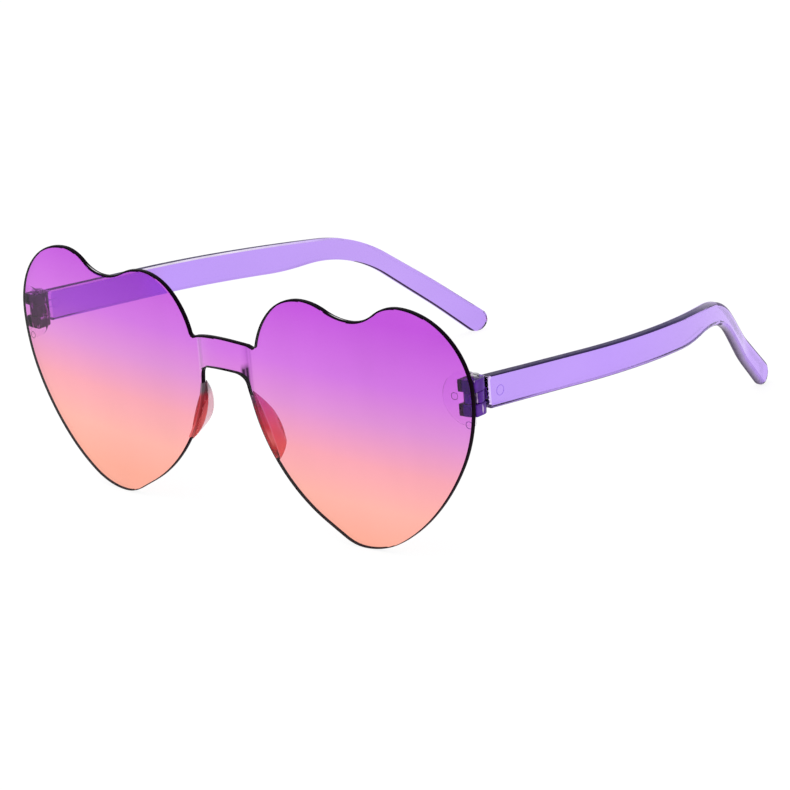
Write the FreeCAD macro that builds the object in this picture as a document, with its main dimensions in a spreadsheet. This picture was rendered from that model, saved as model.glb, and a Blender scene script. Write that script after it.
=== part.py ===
import FreeCAD, Part
import math
import os

import Sketcher
from FreeCAD import Vector

# Heart shaped rimless sunglasses, in millimetres.
# Frame: +Z up, wearer faces -Y, X across the face, +X is the wearer's left.
# The glasses stand open on a table: heart tips and temple tips all touch Z = 0.
# Each piece is drawn with Y = 0 at the front of the lens, and the whole is then moved forward
# so that the middle of its length lies at Y = 0.

# Driving dimensions: name, value, meaning
SIZES = [
    ("half_width", 72.0, "centre line to the outermost point of a heart"),
    ("side_z", 39.8, "height of the outermost point"),
    ("corner_x", 10.4, "foot of the inner lobe beside the bridge"),
    ("corner_z", 44.0, "height of that foot"),
    ("corner_angle", 75.6, "rise of the inner lobe there, degrees"),
    ("inner_lobe_x", 25.4, "top of the inner lobe"),
    ("inner_lobe_z", 56.9, "height of the inner lobe"),
    ("cusp_x", 39.3, "dip between the lobes"),
    ("cusp_z", 53.7, "height of the dip"),
    ("outer_lobe_x", 53.3, "top of the outer lobe"),
    ("outer_lobe_z", 58.5, "height of the outer lobe"),
    ("outer_flank_x", 58.6, "point on the outer lower flank"),
    ("outer_flank_z", 10.0, "height of that point"),
    ("outer_flank_angle", 225.7, "run of the flank there, degrees"),
    ("tip_x", 39.0, "tip of the heart, on the table"),
    ("inner_flank_x", 27.9, "point on the inner lower flank"),
    ("inner_flank_z", 4.5, "height of that point"),
    ("inner_flank_angle", 150.6, "run of the flank there, degrees"),
    ("nose_x", 7.2, "nose edge just under the bridge"),
    ("nose_z", 34.2, "height of that point"),
    ("nose_angle", 98.9, "rise of the nose edge there, degrees"),
    ("bridge_end_x", 9.0, "end of the straight top of the bridge"),
    ("bridge_top_z", 45.0, "top of the bridge in the middle"),
    ("bridge_end_z", 43.5, "top of the bridge at its ends"),
    ("bridge_under_z", 37.2, "underside of the bridge in the middle"),
    ("bridge_bow", 1.8, "how far the bridge bows forward"),
    ("crease_x", 8.0, "crease between bridge and heart"),
    ("lens_thickness", 1.5, "moulded sheet"),
    ("lens_wrap", 4.3, "set back of the outer ends of the lens"),
    ("glue_line", 0.05, "bond between the lens and what sits on it"),
    ("pivot_inset", 2.4, "hinge axis in from the outermost point"),
    ("pivot_depth", 2.65, "hinge axis behind the lens back"),
    ("knuckle_radius", 2.3, "rounded end of lugs and tongue"),
    ("foot_radius", 6.3, "round foot of the hinge"),
    ("foot_outer", 1.6, "foot past the hinge axis, inside the lens edge"),
    ("foot_thickness", 0.6, "thickness of that foot"),
    ("lug_bottom_z", 35.2, "underside of the lower lug"),
    ("lower_lug_height", 2.8, "lower lug"),
    ("slot_height", 2.8, "slot between the lugs"),
    ("upper_lug_height", 2.8, "upper lug"),
    ("tongue_clearance", 0.1, "play above and below the tongue"),
    ("tongue_room", 0.3, "free space round the turning end of the tongue"),
    ("screw_radius", 0.7, "shank of the hinge screw"),
    ("screw_clearance", 0.05, "running clearance round the shank"),
    ("screw_head_radius", 1.25, "head of the hinge screw"),
    ("screw_head_height", 0.6, "head of the hinge screw"),
    ("screw_slot_width", 0.35, "driver slot"),
    ("screw_slot_depth", 0.3, "driver slot"),
    ("temple_shoulder", 2.6, "temple front end behind the hinge axis"),
    ("temple_offset", 0.4, "temple middle outside the hinge axis"),
    ("temple_thickness", 3.0, "side arm, seen from above"),
    ("temple_front_height", 7.5, "side arm at the hinge"),
    ("taper_back", 77.0, "length of the lower edge before it rises towards the bend"),
    ("taper_radius", 60.0, "where the lower edge starts to rise"),
    ("temple_bend_height", 4.3, "side arm at the bend"),
    ("tail_height", 6.1, "side arm at the tip"),
    ("temple_round", 0.7, "rounding along the side arm"),
    ("bow_out", 1.7, "corner of the plan line outside the front end"),
    ("bow_back", 73.0, "corner of the plan line behind the front end"),
    ("bow_radius", 170.0, "plan bend of the side arm"),
    ("flare_inset", 19.6, "corner where the tail turns back outward, inside the front end"),
    ("flare_back", 117.0, "corner where the tail turns back outward, behind the front end"),
    ("flare_radius", 30.0, "plan bend of the tail"),
    ("tail_inset", 23.0, "tip of the side arm inside the front end"),
    ("bend_back", 96.8, "downward bend behind the front end"),
    ("bend_drop", 8.4, "downward bend below the front end"),
    ("bend_radius", 30.0, "downward bend"),
    ("tail_back", 128.6, "middle of the rounded tip behind the front end"),
    ("pad_top_z", 31.8, "upper end of the nose pad"),
    ("pad_bottom_z", 18.2, "lower end of the nose pad"),
    ("pad_edge_inset", 0.1, "nose pad inside the nose edge"),
    ("pad_depth", 4.0, "nose pad behind the lens"),
    ("pad_splay", 0.8, "outward lean of the pad at its rear rim"),
    ("pad_foot_thickness", 2.2, "nose pad at the lens"),
    ("pad_rim_thickness", 1.3, "nose pad at its rear rim"),
    ("pad_rim_share", 0.4, "length of the rear rim as a share of the foot"),
]

doc = FreeCAD.newDocument("heart_sunglasses")
sheet = doc.addObject("Spreadsheet::Sheet", "Sizes")
for row, (alias, value, meaning) in enumerate(SIZES, start=1):
    sheet.set("A%d" % row, alias)
    sheet.set("B%d" % row, str(value))
    sheet.set("C%d" % row, meaning)
    sheet.setAlias("B%d" % row, alias)
doc.recompute()


def size(alias):
    """Value of one driving dimension."""
    return float(sheet.get(alias))


def bind(obj, prop, formula):
    """Tie a property to a formula of sheet cells; names in braces are cells."""
    obj.setExpression(prop, formula.replace("{", "Sizes.").replace("}", ""))


# Sizes that follow from the driving ones

wrap_radius = (size("half_width") ** 2 + size("lens_wrap") ** 2) / (2 * size("lens_wrap"))


def lens_front_y(x):
    """Depth of the lens front at a distance x from the centre line."""
    return wrap_radius - math.sqrt(wrap_radius ** 2 - x ** 2)


def lens_back_y(x):
    """Depth of the lens back."""
    return lens_front_y(x) + size("lens_thickness")


lens_height = max(size("outer_lobe_z"), size("inner_lobe_z"))
pivot_x = size("half_width") - size("pivot_inset")
pivot_y = lens_back_y(pivot_x) + size("pivot_depth")
slot_bottom_z = size("lug_bottom_z") + size("lower_lug_height")
slot_top_z = slot_bottom_z + size("slot_height")
lug_top_z = slot_top_z + size("upper_lug_height")
lug_middle_z = 0.5 * (slot_bottom_z + slot_top_z)
temple_x = pivot_x + size("temple_offset")
temple_y = pivot_y + size("temple_shoulder")


# Plane curves: a piece is (start, end, middle point), and a straight one has no middle point

def unit(angle):
    """Direction at an angle in degrees."""
    return Vector(math.cos(math.radians(angle)), math.sin(math.radians(angle)), 0)


def across(direction):
    """Direction turned left by a right angle."""
    return Vector(-direction.y, direction.x, 0)


def line(start, end):
    """Straight piece."""
    return (start, end, None)


def tangent_arc(start, direction, end):
    """Arc that leaves start along a direction and reaches end."""
    chord = end - start
    turn = math.atan2(direction.x * chord.y - direction.y * chord.x, direction.dot(chord))
    sag = 0.5 * chord.Length * math.tan(0.5 * turn)
    middle = (start + end) * 0.5 - across(chord.normalize()) * sag
    return (start, end, middle)


def biarc(start, leave, end, arrive):
    """Two arcs that join two points smoothly, each leaving its point along the given direction."""
    chord = end - start
    both = leave + arrive
    spread = 2 * (1 - leave.dot(arrive))
    along = chord.dot(both)
    if spread < 1e-9:
        reach = chord.dot(chord) / (2 * along)
    else:
        reach = (math.sqrt(along ** 2 + spread * chord.dot(chord)) - along) / spread
    joint = (start + end + (leave - arrive) * reach) * 0.5
    second = tangent_arc(end, arrive * -1, joint)
    return [tangent_arc(start, leave, joint), (joint, end, second[2])]


def rounded_path(points, radii):
    """Straight runs from point to point with an arc of a given radius at each inner point."""
    path = []
    reached = points[0]
    for corner, last, radius in zip(points[1:], points[2:], radii):
        incoming = (corner - reached).normalize()
        outgoing = (last - corner).normalize()
        turn = math.acos(incoming.dot(outgoing))
        setback = radius * math.tan(0.5 * turn)
        arc_start = corner - incoming * setback
        arc_end = corner + outgoing * setback
        path += [line(reached, arc_start), tangent_arc(arc_start, incoming, arc_end)]
        reached = arc_end
    return path + [line(reached, points[-1])]


def fitting_radius(wanted, corner, before, after):
    """Wanted radius of an arc at a corner, or the largest that the room beside the corner allows."""
    incoming, outgoing = corner - before, after - corner
    room = ARC_SHARE * min(incoming.Length, outgoing.Length)
    turn = incoming.getAngle(outgoing)
    return min(wanted, room / math.tan(0.5 * turn)) if turn > 1e-6 else wanted


def circle_through(*points):
    """Circle through three points."""
    return Part.Arc(*points).toShape().Curve


def reversed_path(path):
    """The same pieces run the other way."""
    return [(end, start, middle) for start, end, middle in reversed(path)]


def mirrored_path(path):
    """The pieces on the other side of the centre line, run the other way."""
    flip = [tuple(p and Vector(-p.x, p.y, 0) for p in piece) for piece in path]
    return reversed_path(flip)


# Sketches

def plane_of(body, role):
    """One of the body's own origin planes."""
    return next(f for f in body.Origin.OriginFeatures if f.Role == role)


def new_sketch(body, name, role, height_formula=None):
    """Sketch on an origin plane, raised along the plane's normal by a formula if one is given."""
    sketch = body.newObject("Sketcher::SketchObject", name)
    sketch.AttachmentSupport = [(plane_of(body, role), "")]
    sketch.MapMode = "FlatFace"
    if height_formula:
        bind(sketch, "AttachmentOffset.Base.z", height_formula)
    return sketch


def arc_geometry(start, end, middle):
    """Counter-clockwise arc through three points, and whether the path runs it backwards."""
    circle = circle_through(start, middle, end)
    centre = circle.Center
    turn = (middle - start).cross(end - middle).z
    first, last = (start, end) if turn > 0 else (end, start)
    angles = [math.atan2(p.y - centre.y, p.x - centre.x) for p in (first, last)]
    if angles[1] < angles[0]:
        angles[1] += 2 * math.pi
    upright = Part.Circle(centre, Vector(0, 0, 1), circle.Radius)
    return Part.ArcOfCircle(upright, angles[0], angles[1]), turn < 0


def draw_loop(sketch, path):
    """Draw a closed path and tie the end of each piece to the start of the next."""
    ends = []
    for start, end, middle in path:
        if middle is None:
            geometry, backwards = Part.LineSegment(start, end), False
        else:
            geometry, backwards = arc_geometry(start, end, middle)
        index = sketch.addGeometry(geometry, False)
        ends.append((index, 2, 1) if backwards else (index, 1, 2))
    ties = []
    for here, following in zip(ends, ends[1:] + ends[:1]):
        ties.append(Sketcher.Constraint("Coincident", here[0], here[2], following[0], following[1]))
    sketch.addConstraint(ties)
    return ends


def pin(sketch, end, x_formula, y_formula):
    """Hold the start of a drawn piece at a place given by formulas of sheet cells."""
    index, position = end[0], end[1]
    point = sketch.getPoint(index, position)
    for kind, value, formula in (("DistanceX", point.x, x_formula), ("DistanceY", point.y, y_formula)):
        number = sketch.addConstraint(Sketcher.Constraint(kind, -1, 1, index, position, value))
        bind(sketch, "Constraints[%d]" % number, formula)


def draw_circle(sketch, centre, radius, radius_formula, x_formula, y_formula):
    """Circle whose radius and centre follow the sheet."""
    index = sketch.addGeometry(Part.Circle(centre, Vector(0, 0, 1), radius), False)
    number = sketch.addConstraint(Sketcher.Constraint("Radius", index, radius))
    bind(sketch, "Constraints[%d]" % number, radius_formula)
    for kind, value, formula in (("DistanceX", centre.x, x_formula), ("DistanceY", centre.y, y_formula)):
        number = sketch.addConstraint(Sketcher.Constraint(kind, -1, 1, index, 3, value))
        bind(sketch, "Constraints[%d]" % number, formula)


def box_path(left, right, low, high):
    """Rectangle."""
    corners = [Vector(left, low, 0), Vector(right, low, 0), Vector(right, high, 0), Vector(left, high, 0)]
    return [line(a, b) for a, b in zip(corners, corners[1:] + corners[:1])]


# Features

def pad(body, sketch, formula):
    """Solid raised from a sketch."""
    feature = body.newObject("PartDesign::Pad", sketch.Name + "_pad")
    feature.Profile = sketch
    bind(feature, "Length", formula)
    doc.recompute()
    return feature


def cut_through(body, sketch):
    """Cut right through the body both ways."""
    before = body.Shape.Volume
    feature = body.newObject("PartDesign::Pocket", sketch.Name + "_cut")
    feature.Profile = sketch
    feature.SideType = "Symmetric"
    feature.Type = "ThroughAll"
    doc.recompute()
    if not body.Shape.Volume < before:
        raise RuntimeError("%s cuts nothing" % feature.Name)
    return feature


def cut_down(body, sketch, formula):
    """Pocket of a given depth below a level sketch."""
    feature = body.newObject("PartDesign::Pocket", sketch.Name + "_cut")
    feature.Profile = sketch
    bind(feature, "Length", formula)
    doc.recompute()
    return feature


def round_edges(body, wanted, formula):
    """Round the edges of the body that a test picks out."""
    base = body.Tip
    names = ["Edge%d" % n for n, edge in enumerate(base.Shape.Edges, start=1) if wanted(edge)]
    feature = body.newObject("PartDesign::Fillet", body.Name + "_round")
    feature.Base = (base, names)
    bind(feature, "Radius", formula)
    doc.recompute()
    return feature


def middle_of(edge):
    """Point and direction half way along an edge."""
    half = 0.5 * (edge.FirstParameter + edge.LastParameter)
    return edge.valueAt(half), edge.tangentAt(half)


# Formulas of the sheet that several pieces share

WRAP_RADIUS = "(({half_width}^2 + {lens_wrap}^2) / (2 * {lens_wrap}))"
PIVOT_X = "({half_width} - {pivot_inset})"
PIVOT_Y = "(%s - sqrt(%s^2 - %s^2) + {lens_thickness} + {pivot_depth})" % (WRAP_RADIUS, WRAP_RADIUS, PIVOT_X)
SLOT_BOTTOM_Z = "({lug_bottom_z} + {lower_lug_height})"
SLOT_TOP_Z = "(%s + {slot_height})" % SLOT_BOTTOM_Z
LUG_TOP_Z = "(%s + {upper_lug_height})" % SLOT_TOP_Z
LUG_MIDDLE_Z = "(%s + 0.5 * {slot_height})" % SLOT_BOTTOM_Z
LENS_HEIGHT = "max({outer_lobe_z}; {inner_lobe_z})"
FRONT_Y = "(%s - sqrt(%s^2 - {crease_x}^2) - {bridge_bow})" % (WRAP_RADIUS, WRAP_RADIUS)
REAR_Y = "(%s + {temple_shoulder} + {tail_back} + 0.5 * {tail_height})" % PIVOT_Y
SIDES = {"left": 1, "right": -1}
CUT_MARGIN = 20.0
BOW_SHARE = 0.9
ARC_SHARE = 0.95


def signed(side, formula):
    """A formula for an X place on one side of the centre line."""
    return formula if SIDES[side] > 0 else "-" + formula


def sided(side, path):
    """A path drawn for the left side, on the side that is wanted."""
    return path if SIDES[side] > 0 else mirrored_path(path)


# Knots of the right-hand half of the outline as drawn: cells of X and Z, and direction of travel
bridge_fall = -2 * math.degrees(math.atan2(size("bridge_top_z") - size("bridge_end_z"), size("bridge_end_x")))
KNOTS = [
    ("{bridge_end_x}", "{bridge_end_z}", bridge_fall),
    ("{corner_x}", "{corner_z}", size("corner_angle")),
    ("{inner_lobe_x}", "{inner_lobe_z}", 0.0),
    ("{cusp_x}", "{cusp_z}", 0.0),
    ("{outer_lobe_x}", "{outer_lobe_z}", 0.0),
    ("{half_width}", "{side_z}", -90.0),
    ("{outer_flank_x}", "{outer_flank_z}", size("outer_flank_angle")),
    ("{tip_x}", "0", 180.0),
    ("{inner_flank_x}", "{inner_flank_z}", size("inner_flank_angle")),
    ("{nose_x}", "{nose_z}", size("nose_angle")),
    ("0", "{bridge_under_z}", 180.0),
]


def knot_point(knot):
    """Place of a knot in the plane of the outline."""
    numbers = [0.0 if cell == "0" else size(cell.strip("{}")) for cell in knot[:2]]
    return Vector(numbers[0], numbers[1], 0)


def half_outline():
    """Outline of one heart from the top of the bridge round to the middle of its underside."""
    path = []
    for here, following in zip(KNOTS, KNOTS[1:]):
        path += biarc(knot_point(here), unit(here[2]), knot_point(following), unit(following[2]))
    return path


HALF_OUTLINE = half_outline()
NOSE_EDGE = HALF_OUTLINE[-4:-2]


def nose_edge_x(z):
    """Distance of the nose edge from the centre line at a height."""
    for start, end, middle in NOSE_EDGE:
        if min(start.y, end.y) <= z <= max(start.y, end.y):
            circle = circle_through(start, middle, end)
            half = math.sqrt(circle.Radius ** 2 - (z - circle.Center.y) ** 2)
            return min((circle.Center.x - half, circle.Center.x + half), key=lambda x: abs(x - middle.x))
    raise ValueError("the nose edge does not reach height %s" % z)


def make_lens_front():
    """Both hearts and the bridge: a bent sheet, cut to the outline."""
    body = doc.addObject("PartDesign::Body", "lens_front")
    wide, crease = size("half_width"), size("crease_x")
    crease_y = lens_front_y(crease)
    between = 0.5 * (wide + crease)
    heart = tuple(Vector(x, lens_front_y(x)) for x in (crease, wide, between))
    bow = (Vector(-crease, crease_y), Vector(crease, crease_y), Vector(0, crease_y - size("bridge_bow")))
    front = mirrored_path([heart]) + [bow, heart]
    step = Vector(0, size("lens_thickness"))
    back = [tuple(point + step for point in piece) for piece in reversed_path(front)]
    loop = front + [line(front[-1][1], back[0][0])] + back + [line(back[-1][1], front[0][0])]
    plan = new_sketch(body, "lens_plan", "XY_Plane")
    ends = draw_loop(plan, loop)
    pin(plan, ends[0], "-{half_width}", "{lens_wrap}")
    pin(plan, ends[3], "{half_width}", "{lens_wrap}")
    pin(plan, ends[4], "{half_width}", "{lens_wrap} + {lens_thickness}")
    pin(plan, ends[7], "-{half_width}", "{lens_wrap} + {lens_thickness}")
    pad(body, plan, LENS_HEIGHT)

    outline = new_sketch(body, "lens_outline", "XZ_Plane")
    bridge_end = knot_point(KNOTS[0])
    bridge_top = (Vector(-bridge_end.x, bridge_end.y), bridge_end, Vector(0, size("bridge_top_z")))
    ends = draw_loop(outline, [bridge_top] + HALF_OUTLINE + mirrored_path(HALF_OUTLINE))
    for count, (x_cell, z_cell, _) in enumerate(KNOTS):
        pin(outline, ends[1 + 2 * count], x_cell, z_cell)
        if 0 < count < len(KNOTS) - 1:
            pin(outline, ends[len(ends) - 2 * count], "-" + x_cell, z_cell)
    draw_loop(outline, box_path(-wide - CUT_MARGIN, wide + CUT_MARGIN, -CUT_MARGIN, lens_height + CUT_MARGIN))
    cut_through(body, outline)
    return body


def back_strip(start_x, end_x, lift):
    """Plan line that follows the lens back, lifted off it by a distance."""
    middle_x = 0.5 * (start_x + end_x)
    return tuple(Vector(x, lens_back_y(x) + lift) for x in (start_x, end_x, middle_x))


def make_hinge_base(side):
    """Round foot on the lens back with a lower and an upper lug."""
    body = doc.addObject("PartDesign::Body", "hinge_base_" + side)
    radius, glue = size("knuckle_radius"), size("glue_line")
    inner_x, outer_x = pivot_x - size("foot_radius"), pivot_x + size("foot_outer")
    seat = back_strip(inner_x, outer_x, glue)
    top = back_strip(outer_x, inner_x, glue + size("foot_thickness"))
    strip = [seat, line(seat[1], top[0]), top, line(top[1], seat[0])]
    foot = new_sketch(body, "foot_plan_" + side, "XY_Plane", LUG_MIDDLE_Z + " - {foot_radius}")
    draw_loop(foot, sided(side, strip))
    pad(body, foot, "2 * {foot_radius}")
    rim = new_sketch(body, "foot_rim_" + side, "XZ_Plane")
    foot_centre = Vector(SIDES[side] * pivot_x, lug_middle_z)
    draw_circle(rim, foot_centre, size("foot_radius"), "{foot_radius}", signed(side, PIVOT_X), LUG_MIDDLE_Z)
    reach = size("foot_radius") + CUT_MARGIN
    low, high = lug_middle_z - reach, lug_middle_z + reach
    draw_loop(rim, box_path(foot_centre.x - reach, foot_centre.x + reach, low, high))
    cut_through(body, rim)

    seat = back_strip(pivot_x + radius, pivot_x - radius, glue)
    shoulder = (Vector(pivot_x - radius, pivot_y), Vector(pivot_x + radius, pivot_y))
    crown = (shoulder[0], shoulder[1], Vector(pivot_x, pivot_y + radius))
    lug = [seat, line(seat[1], shoulder[0]), crown, line(shoulder[1], seat[0])]
    for name, height, tall in (
        ("lower_lug_", "{lug_bottom_z}", "{lower_lug_height}"),
        ("upper_lug_", SLOT_TOP_Z, "{upper_lug_height}"),
    ):
        plan = new_sketch(body, name + side, "XY_Plane", height)
        draw_loop(plan, sided(side, lug))
        pad(body, plan, tall)
    notch = new_sketch(body, "foot_notch_" + side, "XY_Plane", SLOT_TOP_Z)
    room = radius + size("tongue_room")
    draw_loop(notch, sided(side, box_path(pivot_x - room, pivot_x + room, 0, pivot_y)))
    cut_down(body, notch, "{slot_height}")
    bore = new_sketch(body, "screw_bore_" + side, "XY_Plane")
    bore_radius = size("screw_radius") + size("screw_clearance")
    axis = Vector(SIDES[side] * pivot_x, pivot_y)
    draw_circle(bore, axis, bore_radius, "{screw_radius} + {screw_clearance}", signed(side, PIVOT_X), PIVOT_Y)
    cut_through(body, bore)
    return body


def make_hinge_screw(side):
    """Slotted screw down through upper lug, tongue and lower lug."""
    body = doc.addObject("PartDesign::Body", "hinge_screw_" + side)
    axis = Vector(SIDES[side] * pivot_x, pivot_y)
    place = (signed(side, PIVOT_X), PIVOT_Y)
    shank = new_sketch(body, "screw_shank_" + side, "XY_Plane", "{lug_bottom_z}")
    draw_circle(shank, axis, size("screw_radius"), "{screw_radius}", *place)
    pad(body, shank, LUG_TOP_Z + " - {lug_bottom_z}")
    head = new_sketch(body, "screw_head_" + side, "XY_Plane", LUG_TOP_Z)
    draw_circle(head, axis, size("screw_head_radius"), "{screw_head_radius}", *place)
    pad(body, head, "{screw_head_height}")
    slot = new_sketch(body, "screw_slot_" + side, "XY_Plane", LUG_TOP_Z + " + {screw_head_height}")
    half, reach = 0.5 * size("screw_slot_width"), 2 * size("screw_head_radius")
    draw_loop(slot, box_path(axis.x - reach, axis.x + reach, axis.y - half, axis.y + half))
    cut_down(body, slot, "{screw_slot_depth}")
    return body


def temple_plan():
    """Band of the side arm seen from above: a little outward, curving inward, and flaring back at the tail."""
    front = Vector(temple_x, temple_y)
    bow = front + Vector(size("bow_out"), size("bow_back"))
    flare = front + Vector(-size("flare_inset"), size("flare_back"))
    tip = front + Vector(-size("tail_inset"), size("tail_back"))
    ways = [(after - before).normalize() for before, after in ((front, bow), (bow, flare), (flare, tip))]
    between = bow + (flare - bow) * BOW_SHARE
    bow_radius = fitting_radius(size("bow_radius"), bow, front, between)
    flare_radius = fitting_radius(size("flare_radius"), flare, between, tip)
    end = tip + ways[2] * size("tail_height")
    half = 0.5 * size("temple_thickness")
    sides = []
    for sign in (1, -1):
        first = front + across(ways[0]) * (sign * half)
        points = [first - ways[0] * ((first.y - temple_y) / ways[0].y)]
        for corner, before, after in ((bow, ways[0], ways[1]), (flare, ways[1], ways[2])):
            bisector = (across(before) + across(after)).normalize()
            points.append(corner + bisector * (sign * half / bisector.dot(across(before))))
        points.append(end + across(ways[2]) * (sign * half))
        sides.append(rounded_path(points, [bow_radius - sign * half, flare_radius + sign * half]))
    inner, outer = sides
    back = reversed_path(inner)
    return outer + [line(outer[-1][1], back[0][0])] + back + [line(back[-1][1], outer[0][0])]


def temple_side():
    """Outline of the side arm seen from the side: an even bar, a taper, and a bend down to a round tip."""
    front = Vector(temple_y, lug_middle_z)
    bend = front + Vector(size("bend_back"), -size("bend_drop"))
    tail_half = 0.5 * size("tail_height")
    tip = Vector(temple_y + size("tail_back"), tail_half)
    level = (bend - front).normalize()
    fall = (tip - bend).normalize()
    front_half = Vector(0, 0.5 * size("temple_front_height"))
    bisector = (across(level) + across(fall)).normalize()
    bend_half = 0.5 * size("temple_bend_height")
    mitre = bisector * (bend_half / bisector.dot(across(level)))
    side_step = across(fall) * tail_half
    upper_corner = bend + mitre
    run = (upper_corner - front - front_half).normalize()
    taper = front - front_half + run * size("taper_back")
    radius = size("bend_radius")
    upper = rounded_path((front + front_half, upper_corner, tip + side_step), [radius + bend_half])
    lower_points = (front - front_half, taper, bend - mitre, tip - side_step)
    lower = reversed_path(rounded_path(lower_points, [size("taper_radius"), radius - bend_half]))
    rounding = (upper[-1][1], lower[0][0], tip + fall * tail_half)
    return upper + [rounding] + lower + [line(lower[-1][1], upper[0][0])]


def make_temple(side):
    """Side arm with a knuckle tongue that turns on the hinge screw."""
    body = doc.addObject("PartDesign::Body", "temple_" + side)
    plan = new_sketch(body, "temple_plan_" + side, "XY_Plane")
    draw_loop(plan, sided(side, temple_plan()))
    pad(body, plan, LUG_TOP_Z + " + {temple_front_height}")
    profile = new_sketch(body, "temple_side_" + side, "YZ_Plane")
    draw_loop(profile, temple_side())
    far_end = temple_y + size("tail_back") + size("tail_height") + CUT_MARGIN
    high = lug_top_z + size("temple_front_height") + CUT_MARGIN
    draw_loop(profile, box_path(-CUT_MARGIN, far_end, -CUT_MARGIN, high))
    cut_through(body, profile)

    def runs_along(edge):
        point, direction = middle_of(edge)
        return abs(direction.x) < 0.99 and abs(direction.z) < 0.99 and point.y > temple_y

    round_edges(body, runs_along, "{temple_round}")

    radius, sink = size("knuckle_radius"), 0.5 * size("temple_thickness")
    root_y = temple_y + sink
    nose = Vector(pivot_x, pivot_y - radius)
    crown = (Vector(pivot_x - radius, pivot_y), Vector(pivot_x + radius, pivot_y), nose)
    outer_x = temple_x + 0.5 * size("temple_thickness") - size("temple_round")
    inner_x = temple_x - 0.5 * size("temple_thickness") + size("temple_round")
    outer_root = [Vector(outer_x, temple_y), Vector(outer_x, root_y)]
    inner_root = [Vector(inner_x, root_y), Vector(inner_x, temple_y)]
    corners = [crown[1]] + outer_root + inner_root + [crown[0]]
    shape = [crown] + [line(a, b) for a, b in zip(corners, corners[1:])]
    tongue = new_sketch(body, "tongue_" + side, "XY_Plane", SLOT_BOTTOM_Z + " + {tongue_clearance}")
    draw_loop(tongue, sided(side, shape))
    pad(body, tongue, "{slot_height} - 2 * {tongue_clearance}")
    bore = new_sketch(body, "tongue_bore_" + side, "XY_Plane")
    bore_radius = size("screw_radius") + size("screw_clearance")
    axis = Vector(SIDES[side] * pivot_x, pivot_y)
    draw_circle(bore, axis, bore_radius, "{screw_radius} + {screw_clearance}", signed(side, PIVOT_X), PIVOT_Y)
    cut_through(body, bore)
    return body


def pad_section(share):
    """Outline of the nose pad at a share of its depth: a bent bar with round ends."""
    middle_z = 0.5 * (size("pad_top_z") + size("pad_bottom_z"))
    rim = size("pad_rim_share")
    reach = 0.5 * (size("pad_top_z") - size("pad_bottom_z")) * math.sqrt(1 - (1 - rim ** 2) * share ** 2)
    foot, rear = size("pad_foot_thickness"), size("pad_rim_thickness")
    half = 0.5 * (foot + (rear - foot) * share)
    inset = size("pad_edge_inset") + 0.5 * foot + size("pad_splay") * share
    heights = (middle_z + reach, middle_z, middle_z - reach)
    spine = [Vector(nose_edge_x(z) + inset, z) for z in heights]
    centre = circle_through(*spine).Center
    outward = [(point - centre).normalize() for point in spine]
    near = [point + way * half for point, way in zip(spine, outward)]
    far = [point - way * half for point, way in zip(spine, outward)]
    top_cap = spine[0] + across(outward[0]) * -half
    low_cap = spine[2] + across(outward[2]) * half
    return [
        (near[0], near[2], near[1]),
        (near[2], far[2], low_cap),
        (far[2], far[0], far[1]),
        (far[0], near[0], top_cap),
    ]


def make_nose_pad(side):
    """Vane behind a nose edge, thinner and shorter towards its rear rim and leaning outward."""
    body = doc.addObject("PartDesign::Body", "nose_pad_" + side)
    seat_y = lens_back_y(nose_edge_x(size("pad_bottom_z")) + size("pad_foot_thickness")) + size("glue_line")
    sections = []
    for count, share in enumerate((0.0, 0.5, 1.0)):
        name = "pad_section_%d_%s" % (count, side)
        sketch = new_sketch(body, name, "XZ_Plane", "-(%s + %s * {pad_depth})" % (seat_y, share))
        draw_loop(sketch, sided(side, pad_section(share)))
        sections.append(sketch)
    loft = body.newObject("PartDesign::AdditiveLoft", "pad_loft_" + side)
    loft.Profile = sections[0]
    loft.Sections = sections[1:]
    doc.recompute()
    return body


def main():
    """Build every piece, test it and write it out."""
    pieces = [make_lens_front()]
    for side in SIDES:
        pieces += [make_nose_pad(side), make_hinge_base(side), make_hinge_screw(side), make_temple(side)]
    for piece in pieces:
        bind(piece, "Placement.Base.y", "-0.5 * (%s + %s)" % (FRONT_Y, REAR_Y))
    doc.recompute()
    for obj in doc.Objects:
        if "Invalid" in obj.State or "Error" in obj.State:
            raise RuntimeError("%s failed: %s" % (obj.Name, obj.State))
    for piece in pieces:
        if piece.Shape.isNull() or not piece.Shape.isValid() or len(piece.Shape.Solids) != 1:
            raise RuntimeError("%s is not one sound solid" % piece.Label)
    os.makedirs("parts", exist_ok=True)
    for piece in pieces:
        piece.Shape.exportStep(os.path.join("parts", piece.Label + ".step"))
        print("%-20s %9.2f mm3" % (piece.Label, piece.Shape.Volume))


main()
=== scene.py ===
"""Heart shaped sunglasses: a tinted one piece front, clear nose pads, block hinges and bent side arms."""

import logging
import math
from dataclasses import dataclass
from enum import Enum
from typing import Callable, ClassVar, Mapping, Sequence

import bmesh
import bpy
import numpy as np
from mathutils import Matrix, Vector


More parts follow.
